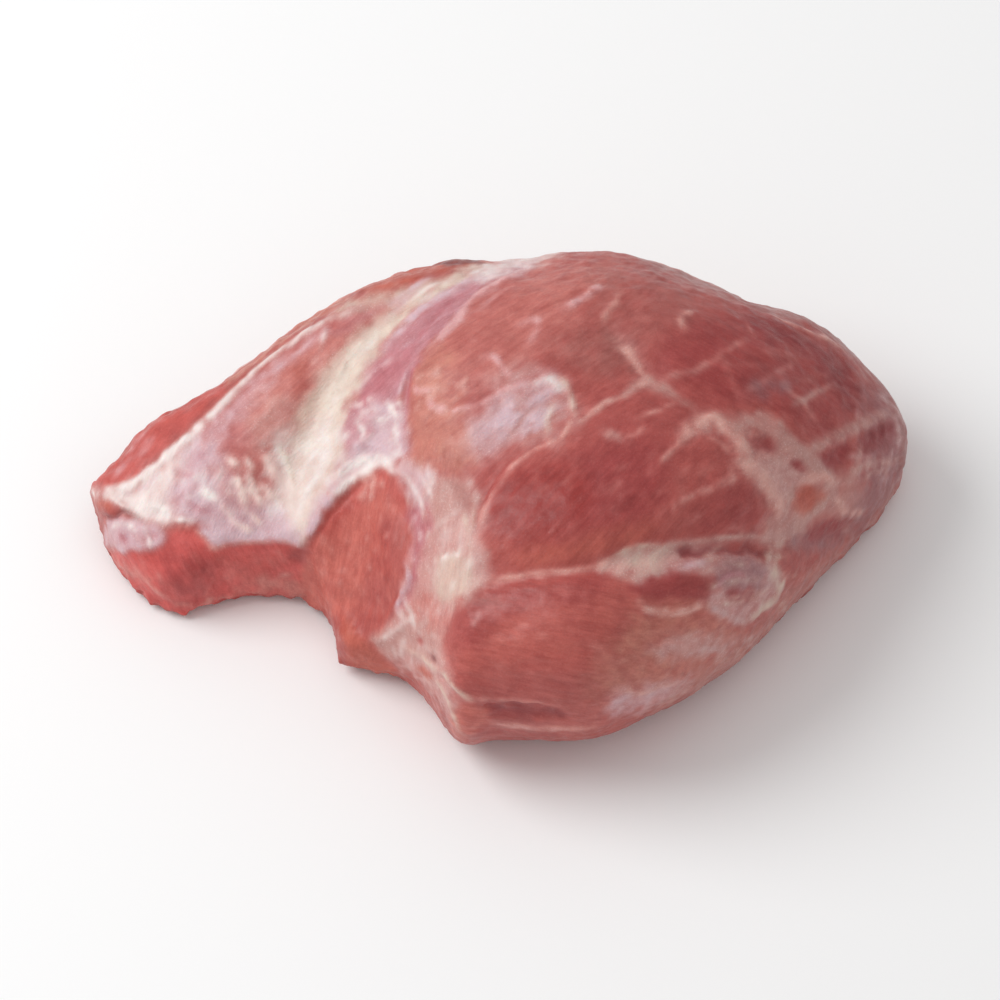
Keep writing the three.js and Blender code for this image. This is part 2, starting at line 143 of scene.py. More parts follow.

# All marks are drawn in the pixels of a view and thrown onto the surface that it shows.
# Washes on the front: colour, how dense, width of the soft edge, rise in mm, outline. A mark of the colour
# none only raises or sinks the surface.
FRONT_WASHES = {
    # Painted light: the dome's left side is painted lighter where the lamp falls on it.
    "dome, painted light on the left": ("brown", 0.7, 26, 0.0, [
        (415, 360), (450, 316), (490, 288), (540, 266), (600, 262), (620, 275), (590, 300), (570, 330),
        (540, 356), (510, 384), (460, 400), (470, 445), (440, 466), (408, 430)]),
    "dome, far side": ("dull", 0.4, 22, 0.0, [
        (600, 268), (660, 276), (700, 296), (690, 340), (630, 346), (596, 318)]),
    "dome, low side": ("dull", 0.6, 16, 0.0, [
        (552, 348), (576, 330), (616, 330), (640, 352), (636, 374), (600, 378), (572, 370)]),
    "dome's near foot": ("tawny", 0.7, 14, 0.0, [
        (412, 372), (424, 352), (440, 344), (452, 360), (450, 384), (462, 404), (466, 430), (474, 452),
        (468, 468), (440, 474), (416, 468), (408, 430)]),
    "lower muscle": ("glow", 0.45, 20, 0.0, [
        (500, 606), (560, 588), (600, 590), (630, 612), (600, 660), (520, 660), (486, 640)]),
    "central muscle": ("deep", 0.8, 26, 0.0, [
        (500, 500), (530, 478), (570, 462), (600, 442), (640, 436), (664, 462), (664, 500), (640, 532),
        (600, 528), (540, 538), (508, 530), (494, 516)]),
    "central muscle, low side": ("orange", 0.5, 12, 0.0, [
        (520, 552), (560, 542), (610, 530), (650, 522), (656, 534), (610, 552), (560, 564), (526, 566)]),
    "upper right muscle": ("deep", 0.7, 20, 0.0, [
        (690, 322), (747, 314), (775, 323), (804, 335), (830, 352), (852, 380), (860, 410), (840, 430),
        (810, 440), (790, 420), (760, 404), (720, 400), (690, 385), (660, 360)]),
    # Painted shade: the upper right muscle is painted darker along its far rim, where it turns from the
    # lamp.
    "upper right muscle's rim, painted shade": ("dark", 0.75, 9, 0.0, [
        (747, 313), (776, 321), (804, 333), (828, 347), (847, 368), (858, 394), (850, 412), (838, 392),
        (822, 366), (800, 350), (770, 338), (744, 326)]),
    "right muscle": ("deep", 0.4, 16, 0.0, [
        (700, 500), (750, 478), (772, 502), (766, 530), (720, 536), (688, 526)]),
    # Painted light: the lower muscle's left end is painted lighter where it is lit.
    "lower muscle's end, painted light": ("glow", 0.3, 18, 0.0, [
        (450, 650), (462, 628), (484, 622), (496, 640), (488, 660), (470, 670)]),
    "lower muscle, right": ("tawny", 0.6, 20, 0.0, [
        (590, 690), (610, 650), (640, 610), (700, 606), (740, 625), (752, 640), (730, 662), (690, 684),
        (640, 700)]),
    "slab muscle": ("brown", 0.9, 14, 0.0, [
        (226, 446), (234, 424), (248, 402), (264, 380), (285, 358), (315, 338), (345, 321), (375, 309),
        (388, 311), (366, 328), (343, 345), (325, 362), (309, 380), (302, 396), (297, 412), (290, 434),
        (280, 450), (262, 458), (242, 458)]),
    "slab muscle's glow": ("orange", 0.35, 14, 0.0, [
        (250, 410), (266, 386), (290, 362), (315, 345), (325, 350), (310, 368), (298, 390), (282, 412),
        (266, 428)]),
    "slab muscle's top": ("lilac", 0.4, 10, 0.0, [
        (333, 326), (365, 309), (386, 306), (375, 319), (350, 334)]),
    "slab muscle's foot": ("wine", 0.4, 10, 0.0, [
        (214, 472), (222, 440), (240, 424), (258, 438), (266, 470), (250, 502), (224, 502)]),
    "slab muscle's pale part": ("rose", 0.65, 12, 0.0, [
        (246, 432), (258, 406), (272, 396), (290, 396), (296, 412), (288, 440), (270, 452), (252, 452)]),
    "far rim of the slab": ("tawny", 0.85, 4, 0.0, [
        (218, 384), (248, 362), (270, 340), (296, 321), (320, 303), (342, 291), (348, 298), (326, 310),
        (300, 327), (272, 347), (250, 367), (232, 384)]),
    "red strip": ("vivid", 1.0, 4, 0.2, [
        (88, 487), (94, 474), (118, 452), (136, 430), (158, 413), (188, 400), (208, 388), (226, 380),
        (220, 392), (205, 408), (190, 423), (174, 438), (160, 452), (148, 466), (134, 478), (118, 485),
        (104, 488)]),
    "top flap": ("orange", 1.0, 4, 0.5, [
        (358, 290), (370, 274), (395, 266), (418, 262), (445, 254), (486, 252), (484, 265), (456, 268),
        (430, 276), (410, 282), (388, 289), (370, 293)]),
    "under the flap": ("tan", 0.8, 6, 0.0, [
        (330, 312), (350, 299), (368, 295), (390, 290), (420, 283), (446, 274), (474, 268), (450, 280),
        (420, 291), (396, 300), (372, 308), (350, 316)]),
    "valley": ("tan", 0.95, 9, 0.0, [
        (279, 540), (278, 500), (284, 460), (292, 430), (300, 408), (307, 390), (319, 372), (339, 350),
        (363, 328), (386, 311), (410, 297), (440, 284), (470, 271), (484, 267), (478, 277), (450, 292),
        (418, 312), (396, 332), (378, 356), (364, 382), (352, 412), (346, 440), (345, 468), (332, 492),
        (316, 520), (304, 546)]),
    "valley's fat": ("cream", 0.85, 10, 0.3, [
        (300, 450), (308, 424), (322, 392), (340, 368), (360, 346), (386, 326), (404, 313), (394, 331),
        (374, 352), (359, 379), (347, 405), (338, 435), (334, 452)]),
    "valley's low end": ("white", 0.6, 14, 0.2, [
        (284, 530), (286, 490), (298, 448), (316, 420), (340, 424), (338, 462), (326, 492), (310, 515),
        (297, 540)]),
    "valley's top": ("cream", 0.6, 6, 0.0, [
        (394, 306), (424, 290), (455, 277), (482, 267), (471, 277), (440, 293), (415, 305)]),
    "valley's low film": ("lavender", 0.9, 8, 0.0, [
        (350, 414), (364, 400), (396, 397), (407, 420), (408, 450), (393, 463), (372, 464), (352, 475),
        (336, 492), (322, 508), (312, 520), (320, 498), (334, 478), (343, 452), (345, 430)]),
    "valley's blush": ("lilac", 0.75, 7, 0.0, [
        (342, 442), (351, 412), (362, 400), (373, 408), (366, 430), (352, 450)]),
    "dome's slope": ("lilac", 0.95, 6, 0.0, [
        (484, 270), (505, 262), (542, 256), (532, 267), (504, 280), (477, 294), (453, 321), (437, 339),
        (422, 356), (410, 372), (400, 396), (366, 402), (352, 412), (362, 384), (376, 359), (393, 337),
        (414, 316), (446, 296)]),
    "dome's slope, low": ("wine", 0.7, 8, 0.0, [
        (352, 410), (364, 386), (380, 366), (400, 348), (412, 350), (403, 372), (384, 390), (366, 402)]),
    "dome's slope, top": ("white", 0.75, 6, 0.0, [
        (470, 278), (484, 264), (510, 256), (552, 250), (562, 256), (540, 264), (512, 272), (490, 282)]),
    "slab fascia": ("white", 0.9, 10, 0.0, [
        (94, 495), (118, 491), (136, 485), (152, 474), (166, 462), (182, 448), (196, 436), (200, 446),
        (188, 464), (178, 484), (172, 500), (178, 514), (160, 524), (140, 524), (126, 512), (108, 501)]),
    "slab film": ("lavender", 0.9, 9, 0.0, [
        (178, 514), (173, 492), (185, 466), (200, 450), (222, 450), (238, 474), (254, 500), (280, 506),
        (302, 548), (262, 543), (222, 545), (212, 549), (202, 528), (186, 520)]),
    "slab film, rosy": ("brown", 0.45, 12, 0.0, [
        (212, 470), (228, 446), (248, 438), (260, 446), (262, 470), (260, 498), (250, 508), (234, 506),
        (220, 492)]),
    "slab film, spot": ("brown", 0.5, 8, 0.0, [
        (244, 462), (254, 452), (264, 456), (264, 476), (258, 492), (248, 488)]),
    "slab film, pale side": ("white", 0.7, 12, 0.0, [
        (268, 440), (280, 430), (292, 432), (290, 460), (286, 490), (280, 512), (268, 506), (272, 474)]),
    "bevel's fat": ("lavender", 0.65, 10, 0.0, [
        (178, 458), (196, 436), (214, 418), (236, 396), (262, 372), (294, 346), (322, 326), (330, 332),
        (306, 350), (280, 374), (258, 398), (240, 420), (222, 442), (206, 462)]),
    "far rim, sunk at the left": ("none", 0.0, 9, -2.6, [
        (70, 478), (100, 430), (150, 392), (200, 370), (240, 345), (290, 306), (340, 272), (400, 246),
        (450, 238), (456, 256), (404, 268), (350, 292), (300, 322), (256, 358), (226, 380), (190, 396),
        (156, 416), (130, 442), (104, 474)]),
    "far rim, sunk at the right": ("none", 0.0, 10, -1.6, [
        (690, 240), (760, 280), (830, 300), (840, 330), (800, 322), (760, 308), (720, 290), (690, 276)]),
    "corner membrane": ("lavender", 0.8, 4, 0.3, [
        (106, 520), (122, 516), (132, 519), (150, 525), (164, 531), (168, 545), (164, 552), (140, 550),
        (120, 552), (108, 545), (102, 532)]),
    "cut face": ("cut", 1.0, 4, -0.5, [
        (102, 548), (112, 551), (128, 552), (150, 551), (166, 548), (168, 534), (182, 529), (194, 530),
        (203, 538), (211, 549), (230, 545), (262, 542), (286, 543), (303, 549), (312, 560), (308, 604),
        (250, 614), (186, 622), (140, 600), (102, 570)]),
    "cut face, bright": ("vivid", 0.5, 10, 0.0, [
        (216, 560), (240, 552), (290, 556), (280, 575), (240, 580)]),
    "cut face, low": ("deep", 0.5, 12, 0.0, [
        (160, 566), (176, 550), (200, 552), (212, 566), (206, 596), (180, 600), (164, 588)]),
    "cut face's skin": ("pink", 0.55, 6, 0.0, [
        (102, 536), (112, 552), (122, 560), (142, 572), (150, 582), (124, 576), (102, 560)]),
    "hollow": ("glow", 1.0, 5, 0.0, [
        (384, 468), (371, 478), (358, 486), (346, 495), (334, 507), (322, 524), (313, 541), (308, 556),
        (300, 575), (296, 604), (340, 618), (344, 640), (350, 668), (396, 678), (384, 642), (388, 618),
        (400, 594), (409, 560), (408, 530), (405, 506), (399, 486)]),
    "hollow's edges": ("vivid", 0.75, 8, 0.0, [
        (384, 470), (368, 481), (354, 491), (338, 506), (324, 526), (334, 532), (354, 508), (370, 496),
        (386, 488), (398, 508), (402, 530), (406, 500), (399, 486)]),
    "hollow's depth": ("red", 0.7, 10, 0.0, [
        (366, 590), (372, 550), (380, 520), (398, 516), (406, 550), (398, 598), (384, 630), (366, 640),
        (354, 625)]),
    # Painted shade: the corner of the hollow is darkened.
    "hollow's corner": ("crevice shade", 0.4, 6, -0.9, [
        (288, 549), (300, 550), (307, 557), (304, 563), (294, 561)]),
    "torn flap": ("orange", 0.85, 5, 0.8, [
        (345, 616), (354, 624), (364, 646), (384, 658), (398, 676), (380, 680), (356, 670), (342, 642)]),
    "dome film": ("film", 0.62, 17, 0.0, [
        (468, 448), (466, 430), (478, 411), (500, 396), (520, 379), (545, 372), (562, 382), (574, 398),
        (578, 418), (564, 434), (550, 444), (526, 446), (502, 453), (482, 458)]),
    "dome film, upper left": ("film", 0.5, 12, 0.0, [
        (484, 392), (496, 372), (518, 362), (536, 366), (524, 384), (504, 396)]),
    "dome film, left": ("lavender", 0.55, 14, 0.0, [
        (472, 442), (476, 424), (490, 412), (506, 408), (518, 420), (510, 436), (494, 447), (480, 449)]),
    "dome film, top": ("lavender", 0.55, 12, 0.2, [
        (518, 390), (530, 380), (545, 373), (558, 379), (566, 390), (560, 400), (544, 398), (528, 402)]),
    "dome film, inside": ("dull", 0.4, 10, 0.0, [
        (522, 412), (540, 400), (552, 402), (552, 420), (546, 434), (528, 436)]),
    "strip by the hollow": ("rose", 0.9, 8, 0.3, [
        (394, 463), (412, 459), (432, 473), (456, 483), (474, 491), (485, 508), (482, 540), (491, 576),
        (480, 591), (460, 603), (446, 625), (443, 648), (450, 672), (458, 700), (463, 738), (444, 714),
        (430, 692), (418, 674), (402, 666), (386, 652), (376, 640), (388, 622), (402, 602), (412, 576),
        (417, 545), (413, 512), (406, 486)]),
    "strip's top": ("lavender", 0.55, 9, 0.0, [
        (392, 466), (410, 461), (430, 473), (440, 490), (430, 506), (412, 504), (402, 486)]),
    "strip's rosy part": ("web", 0.95, 8, 0.0, [
        (432, 482), (452, 478), (476, 490), (484, 510), (478, 530), (454, 534), (438, 516), (430, 496)]),
    "strip's shade": ("dull", 0.6, 8, 0.0, [(458, 486), (474, 490), (482, 504), (476, 516), (462, 510)]),
    "strip's blush": ("wine", 0.95, 8, 0.0, [
        (408, 512), (424, 505), (430, 530), (420, 556), (415, 590), (402, 606), (409, 575), (412, 538)]),
    "strip's fat": ("rose", 0.8, 10, 0.1, [
        (440, 530), (458, 512), (474, 514), (480, 545), (488, 575), (477, 592), (450, 602), (432, 596),
        (434, 560)]),
    "fat pad": ("tan", 0.85, 8, 0.4, [
        (438, 598), (437, 572), (444, 556), (463, 552), (472, 572), (474, 592), (456, 603)]),
    "strip's brown part": ("brown", 0.75, 9, 0.0, [
        (412, 600), (424, 594), (440, 604), (440, 634), (434, 652), (422, 646), (414, 624)]),
    "muscle beside the strip": ("vein", 0.7, 14, 0.0, [
        (492, 504), (506, 482), (530, 468), (570, 466), (590, 500), (566, 530), (520, 536), (494, 524)]),
    # Painted shadow: the dark gap at the end of the top flap.
    "top flap's painted shadow": ("crevice shade", 0.7, 3, 0.0, [
        (436, 258), (456, 256), (478, 258), (482, 266), (458, 265), (440, 266)]),
    "muscle under the seam": ("deep", 0.45, 10, 0.0, [
        (452, 618), (470, 604), (486, 592), (510, 585), (560, 578), (604, 574), (600, 596), (548, 610),
        (500, 620), (480, 650), (456, 646)]),
    "low membrane": ("web", 0.9, 7, 0.3, [
        (370, 640), (384, 632), (400, 624), (416, 616), (430, 622), (440, 640), (437, 660), (428, 662),
        (410, 654), (390, 650)]),
    "seam web": ("film", 0.7, 8, 0.0, [
        (594, 568), (614, 557), (636, 547), (662, 544), (690, 543), (716, 546), (740, 552), (760, 558),
        (775, 564), (781, 584), (774, 600), (760, 613), (746, 623), (730, 619), (712, 608), (704, 598),
        (716, 584), (706, 575), (680, 574), (655, 580), (640, 586), (626, 577), (608, 573)]),
    "seam web's fat": ("tan", 0.6, 9, 0.3, [
        (598, 568), (626, 552), (656, 546), (676, 552), (660, 572), (640, 578), (618, 573)]),
    "lens muscle": ("deep", 0.8, 5, 0.5, [
        (627, 586), (640, 580), (655, 577), (684, 574), (710, 576), (718, 580), (706, 597), (684, 600),
        (662, 599), (645, 596)]),
    "slit": ("dark", 0.75, 3, -1.0, [
        (677, 552), (686, 548), (700, 550), (716, 547), (740, 547), (770, 550), (780, 556), (768, 555),
        (740, 551), (716, 551), (700, 556), (686, 557)]),
    "loop's film": ("mauve", 0.6, 6, 0.0, [
        (722, 560), (745, 558), (765, 566), (769, 582), (755, 592), (735, 592), (720, 585), (716, 572)]),
    "loop's window": ("deep", 0.8, 4, -0.3, [(725, 592), (747, 588), (758, 595), (750, 604), (738, 603)]),
    "net film": ("web", 0.65, 12, 0.0, [
        (688, 438), (698, 419), (716, 414), (740, 418), (768, 419), (788, 436), (812, 456), (838, 470),
        (862, 484), (866, 506), (846, 522), (824, 516), (806, 526), (796, 542), (772, 546), (760, 534),
        (770, 508), (756, 486), (744, 466), (732, 446), (718, 433), (702, 434)]),
    "net's knot": ("rose", 0.8, 10, 0.2, [
        (742, 462), (758, 456), (776, 456), (794, 456), (808, 470), (800, 482), (786, 500), (776, 506),
        (764, 490), (750, 476)]),
    "net's low end": ("web", 0.7, 10, 0.0, [
        (766, 528), (784, 518), (802, 522), (802, 536), (786, 544), (768, 542)]),
    # Painted shade: the round end is painted darker, and its rim greyer, where the surface turns from the
    # lamp.
    "round end": ("mauve", 0.7, 13, 0.0, [
        (866, 396), (880, 390), (898, 400), (914, 425), (915, 455), (908, 475), (898, 495), (882, 512),
        (862, 532), (840, 545), (818, 552), (798, 548), (794, 536), (830, 525), (850, 512), (862, 490),
        (868, 460), (870, 430)]),
    "round end's rim, painted shade": ("shade grey", 0.6, 6, 0.0, [
        (884, 392), (898, 402), (912, 424), (913, 458), (904, 474), (899, 462), (902, 440), (896, 418)]),
    "window a": ("deep", 0.95, 4, -0.5, [
        (821, 462), (829, 450), (848, 441), (850, 456), (841, 471), (829, 470)]),
    "window b": ("dark", 0.85, 6, -0.5, [
        (858, 442), (862, 430), (876, 423), (890, 420), (894, 436), (882, 448), (866, 451)]),
    "window c": ("orange", 0.9, 5, -0.5, [
        (796, 496), (804, 487), (820, 488), (822, 502), (812, 514), (800, 514)]),
    "window d": ("deep", 0.4, 6, -0.4, [
        (744, 442), (752, 436), (768, 438), (778, 448), (770, 452), (752, 450)]),
    "window e": ("deep", 0.7, 6, -0.4, [
        (808, 530), (822, 521), (846, 517), (856, 524), (838, 536), (814, 540)]),
    # Painted shade: the far rim is greyed where the far fold is lit less.
    "far rim": ("shade grey", 0.6, 5, 0.0, [
        (640, 254), (680, 262), (712, 272), (744, 284), (772, 300), (806, 304), (826, 314), (842, 328),
        (856, 344), (874, 362), (888, 384), (880, 384), (866, 370), (846, 350), (830, 336), (806, 322),
        (776, 314), (750, 304), (720, 292), (690, 280), (660, 268), (640, 262)]),
    "low film": ("film", 0.6, 8, 0.0, [
        (650, 648), (664, 640), (684, 636), (712, 635), (737, 644), (722, 656), (700, 655), (676, 657),
        (658, 655)]),
    "low rim": ("lavender", 0.6, 8, 0.0, [
        (606, 704), (616, 692), (640, 688), (668, 680), (690, 678), (682, 690), (655, 704), (630, 714),
        (608, 718)]),
    "near rim, right": ("web", 0.55, 7, 0.0, [
        (700, 672), (726, 655), (752, 633), (770, 612), (788, 590), (812, 570), (836, 552), (856, 540),
        (876, 512), (894, 484), (900, 500), (880, 540), (850, 570), (820, 595), (790, 625), (765, 655),
        (730, 680), (690, 700), (660, 712), (640, 716), (664, 700)]),
    "lip's furrow": ("dark", 0.6, 4, -1.8, [
        (486, 704), (510, 704), (540, 708), (566, 712), (566, 718), (530, 718), (500, 716), (486, 712)]),
    "lip's corner": ("glow", 0.9, 5, 0.0, [
        (454, 712), (470, 705), (487, 708), (486, 722), (476, 730), (464, 742), (454, 730)]),
}

# Strokes on the front: colour, how dense, width, rise in mm (negative for a furrow), points.
FRONT_STROKES = {
    "bevel, white": ("white", 1.0, 10, 0.7, [
        (92, 493), (112, 490), (128, 486), (142, 478), (154, 468), (168, 456), (184, 441), (200, 426),
        (216, 410), (234, 393)]),
    "bevel, pink": ("rose", 1.0, 9, 0.6, [
        (220, 405), (234, 391), (250, 376), (268, 360), (290, 343), (318, 325), (345, 313), (370, 305),
        (392, 300)]),
    "bevel's glint": ("white", 0.7, 6, 0.3, [
        (196, 430), (214, 412), (234, 392), (262, 365), (290, 343), (322, 323), (350, 312)]),
    "fat line a": ("cream", 0.8, 5, 0.5, [
        (388, 326), (364, 344), (347, 362), (336, 388), (320, 420), (310, 450)]),
    "fat line b": ("white", 0.7, 6, 0.4, [(330, 440), (320, 468), (306, 496), (296, 520)]),
    "fat line c": ("white", 0.8, 4, 0.4, [(279, 450), (288, 470), (294, 492)]),
    "fat line e": ("white", 0.6, 6, 0.3, [(452, 280), (426, 290), (402, 308)]),
    "white dot": ("white", 0.9, 6, 0.3, [(482, 268), (489, 266)]),
    "slope's edge": ("pink", 0.75, 4, 0.6, [
        (484, 270), (462, 285), (445, 296), (412, 315), (393, 332), (378, 354)]),
    "slope's light": ("lavender", 0.9, 9, 0.3, [
        (480, 276), (450, 291), (422, 310), (402, 328), (384, 350)]),
    "slope's shade": ("wine", 0.5, 7, -0.3, [(470, 288), (448, 304), (428, 326), (412, 348)]),
    "dome's ridge": ("blush", 1.0, 10, 0.9, [
        (530, 269), (503, 281), (479, 295), (460, 315), (445, 334), (427, 356)]),
    "dome's ridge, foot": ("lavender", 0.6, 5, 0.4, [(411, 362), (403, 382), (397, 402)]),
    "under the dome": ("wine", 0.6, 7, -1.0, [
        (424, 354), (412, 368), (408, 384), (405, 404), (404, 428)]),
    "foot, white a": ("white", 0.8, 6, 0.3, [(388, 402), (396, 418), (392, 436)]),
    "foot, white b": ("white", 0.95, 10, 0.4, [
        (330, 480), (344, 470), (358, 462), (374, 457), (394, 459)]),
    "strip's head": ("white", 0.9, 9, 0.3, [(378, 461), (388, 465), (397, 472)]),
    "foot, white c": ("white", 0.7, 5, 0.3, [(356, 420), (364, 432), (360, 446)]),
    "foot, white d": ("lavender", 0.9, 10, 0.3, [(350, 450), (364, 446), (380, 448), (394, 450)]),
    # Painted shade: the crease is darkened.
    "slab crease": ("crevice shade", 0.55, 4, -1.6, [
        (98, 514), (108, 517), (117, 516), (124, 511), (136, 517), (149, 527)]),
    "slab grain b": ("white", 0.7, 6, 0.3, [(128, 508), (146, 516), (166, 520), (178, 520)]),
    "slab blush a": ("lilac", 0.6, 8, 0.0, [(186, 470), (196, 460), (208, 452)]),
    "slab drip": ("lavender", 0.9, 7, 0.5, [(200, 527), (208, 536), (219, 544)]),
    "slab's low edge": ("lavender", 0.9, 11, 0.4, [
        (206, 530), (222, 537), (244, 536), (270, 535), (298, 538)]),
    # Painted glints: the slab's dashes in shine, and dash e in white, are highlights on the wet film.
    "slab glint, dash a": ("shine", 1.0, 9, 0.5, [(266, 452), (268, 460), (272, 470), (276, 480)]),
    "slab glint, dash b": ("shine", 0.9, 8, 0.5, [(228, 457), (233, 461), (238, 466)]),
    "slab glint, dash c": ("shine", 1.0, 8, 0.5, [(236, 474), (240, 486), (242, 496), (246, 506)]),
    "slab glint, dash d": ("shine", 1.0, 8, 0.5, [(248, 476), (252, 488), (257, 497), (260, 508)]),
    "slab glint, dash f": ("shine", 0.9, 7, 0.5, [(264, 484), (268, 492), (270, 502)]),
    "slab glint, dash k": ("shine", 0.8, 6, 0.4, [(246, 456), (250, 464), (252, 470)]),
    "slab glint, dash e": ("white", 0.95, 8, 0.5, [(200, 488), (208, 493), (218, 500)]),
    "slab glint a": ("white", 1.0, 7, 0.5, [(136, 500), (148, 506), (160, 508), (170, 516)]),
    "slab glint b": ("white", 0.9, 6, 0.4, [(176, 524), (186, 520), (196, 524)]),
    "slab shade a": ("lilac", 0.6, 7, -0.3, [(184, 498), (192, 506), (202, 510), (214, 512)]),
    "slab shade b": ("lilac", 0.6, 6, -0.3, [(176, 470), (186, 476), (194, 474)]),
    "slab glint, dash g": ("shine", 0.8, 6, 0.4, [(230, 520), (240, 526), (252, 530)]),
    "slab glint, dash h": ("shine", 0.8, 6, 0.4, [(248, 510), (254, 518), (262, 526)]),
    "slab glint, dash i": ("shine", 0.7, 6, 0.4, [(222, 504), (226, 511), (232, 518)]),
    "slab dash j": ("cream", 0.8, 5, 0.4, [(279, 445), (286, 460), (291, 474), (297, 492)]),
    "tip flap": ("orange", 0.85, 8, 0.6, [(94, 500), (104, 505), (114, 510)]),
    "tip flap's edge": ("white", 0.8, 4, 0.6, [(90, 494), (104, 495), (118, 502), (126, 508)]),
    "corner loop": ("white", 0.6, 5, 0.5, [(110, 532), (118, 524), (128, 525), (136, 532)]),
    "corner fold": ("white", 0.7, 5, 0.6, [(144, 528), (150, 538), (148, 548)]),
    "corner shade a": ("wine", 0.5, 6, -0.4, [(120, 536), (128, 542)]),
    "corner shade b": ("wine", 0.45, 6, -0.4, [(146, 532), (156, 538)]),
    "cut's upper edge": ("pink", 0.8, 4, 0.8, [
        (168, 534), (181, 528), (194, 529), (203, 538), (212, 548), (230, 544), (254, 542), (280, 541),
        (300, 546)]),
    # Painted highlight: a light line along the cut's lower edge.
    "cut's near edge, painted highlight": ("pink", 0.7, 5, 0.4, [
        (113, 563), (140, 577), (163, 597), (180, 606), (203, 605), (215, 598), (247, 594), (287, 591),
        (313, 600)]),
    "cut strand": ("thread", 0.9, 4, 0.5, [(267, 591), (272, 583), (281, 577), (292, 575)]),
    # Painted light: the cut face's corner is painted lighter where it is lit.
    "cut's corner, painted light": ("brown", 1.0, 30, 0.0, [(250, 584), (276, 588), (304, 590)]),
    "hollow's lip, white": ("white", 1.0, 9, 0.9, [
        (384, 460), (370, 468), (356, 477), (344, 487), (332, 500)]),
    "hollow's lip": ("lavender", 0.95, 9, 0.8, [(332, 496), (322, 510), (312, 526), (306, 540)]),
    "hollow's wall": ("vivid", 0.7, 5, -1.4, [
        (382, 473), (366, 483), (354, 492), (342, 503), (332, 515), (321, 530), (313, 545), (310, 558)]),
    "hollow's glint a": ("pink", 0.8, 7, 0.4, [(368, 498), (373, 495)]),
    "hollow's glint b": ("pink", 0.75, 4, 0.3, [(362, 486), (368, 480), (376, 478)]),
    "hollow's far lip": ("pink", 0.2, 5, 0.8, [
        (388, 470), (403, 488), (409, 508), (412, 530), (413, 551), (409, 574), (400, 597), (388, 616)]),
    "strip's light a": ("white", 0.5, 7, 0.2, [(398, 470), (410, 482), (420, 496), (424, 508)]),
    "strip's light b": ("tan", 0.6, 4, 0.3, [(474, 506), (475, 520), (473, 534)]),
    "strip's light c": ("tan", 0.7, 5, 0.4, [(464, 512), (468, 530), (470, 552)]),
    "strip's light d": ("lavender", 0.7, 6, 0.3, [(405, 560), (410, 580), (402, 596), (396, 610)]),
    "pad's edge": ("white", 0.7, 4, 0.4, [(441, 562), (450, 556), (463, 555)]),
    "pad's shade": ("dull", 0.55, 9, 0.0, [(462, 603), (480, 600), (504, 604)]),
    "membrane a": ("white", 0.45, 5, 0.6, [(378, 640), (390, 634), (404, 624), (416, 617)]),
    "membrane b": ("tan", 0.9, 6, 0.6, [
        (406, 648), (418, 654), (430, 664), (442, 672), (456, 686), (466, 696), (476, 701)]),
    "membrane c": ("tan", 0.8, 7, 0.5, [(436, 676), (446, 694), (454, 712), (461, 732)]),
    "membrane hole a": ("red", 0.8, 7, -0.5, [(418, 640), (424, 642)]),
    # Painted shade: the hole is darkened.
    "membrane hole b": ("crevice shade", 0.7, 5, -0.6, [(431, 656), (436, 660)]),
    "membrane hole c": ("orange", 0.8, 9, 0.6, [(418, 668), (427, 673), (434, 678)]),
    "muscle edge": ("pink", 0.95, 6, 0.5, [
        (560, 443), (545, 446), (532, 452), (515, 465), (502, 482), (491, 497), (486, 508), (482, 522),
        (481, 540)]),
    "muscle edge's furrow": ("red", 0.5, 5, -1.0, [
        (520, 452), (500, 473), (488, 490), (478, 512), (476, 536)]),
    "seam": ("thread", 0.8, 5, 0.4, [
        (486, 582), (510, 577), (540, 573), (575, 570), (600, 565), (620, 558)]),
    "seam's furrow": ("none", 0.0, 16, -1.6, [
        (482, 584), (528, 576), (591, 568), (640, 558), (700, 551), (760, 547), (820, 540), (856, 534)]),
    "seam web, top": ("tan", 0.6, 4, 0.2, [(614, 556), (636, 547), (662, 545), (688, 543)]),
    "web light a": ("lavender", 0.8, 7, 0.3, [(680, 567), (694, 565), (706, 562)]),
    "web light b": ("web", 0.95, 6, 0.4, [
        (655, 543), (671, 544), (690, 543), (706, 540), (722, 538), (747, 537), (770, 538), (790, 540)]),
    "loop": ("tan", 0.95, 14, 0.6, [
        (771, 560), (775, 572), (780, 584), (776, 597), (767, 606), (757, 613), (745, 621)]),
    "loop's inner line": ("lilac", 0.7, 6, 0.2, [(716, 588), (724, 580), (734, 575), (748, 578)]),
    "loop's foot": ("film", 0.8, 7, 0.3, [(708, 606), (722, 612), (736, 620), (748, 622)]),
    "curl": ("thread", 1.0, 7, 1.0, [
        (640, 603), (646, 609), (660, 613), (679, 612), (692, 609), (706, 604)]),
    "low line a": ("pink", 0.8, 5, 0.4, [(652, 647), (662, 643), (684, 642)]),
    "low line c": ("film", 0.7, 5, 0.3, [(690, 652), (704, 648), (718, 650), (732, 652)]),
    "low rim, light": ("thread", 0.7, 6, 0.4, [
        (612, 692), (628, 691), (643, 692), (660, 686), (680, 682)]),
    "lip's light": ("pink", 0.6, 6, 0.5, [(468, 699), (484, 698), (500, 699), (532, 702), (560, 705)]),
    # Painted light: the roll is painted lighter where the bottom rim catches light; its rise is real relief.
    "lip's roll, painted light": ("pink", 0.9, 12, 0.4, [(492, 724), (530, 728), (570, 728), (600, 726)]),
    "film vein a": ("white", 0.8, 9, 0.5, [(532, 384), (544, 378), (556, 384), (563, 395)]),
    "film streak a": ("lavender", 0.8, 6, 0.3, [(476, 444), (494, 422), (516, 402)]),
    "film streak b": ("lavender", 0.8, 6, 0.3, [(494, 446), (514, 424), (532, 404), (546, 392)]),
    "film streak c": ("lavender", 0.7, 5, 0.3, [(518, 442), (532, 424), (544, 408)]),
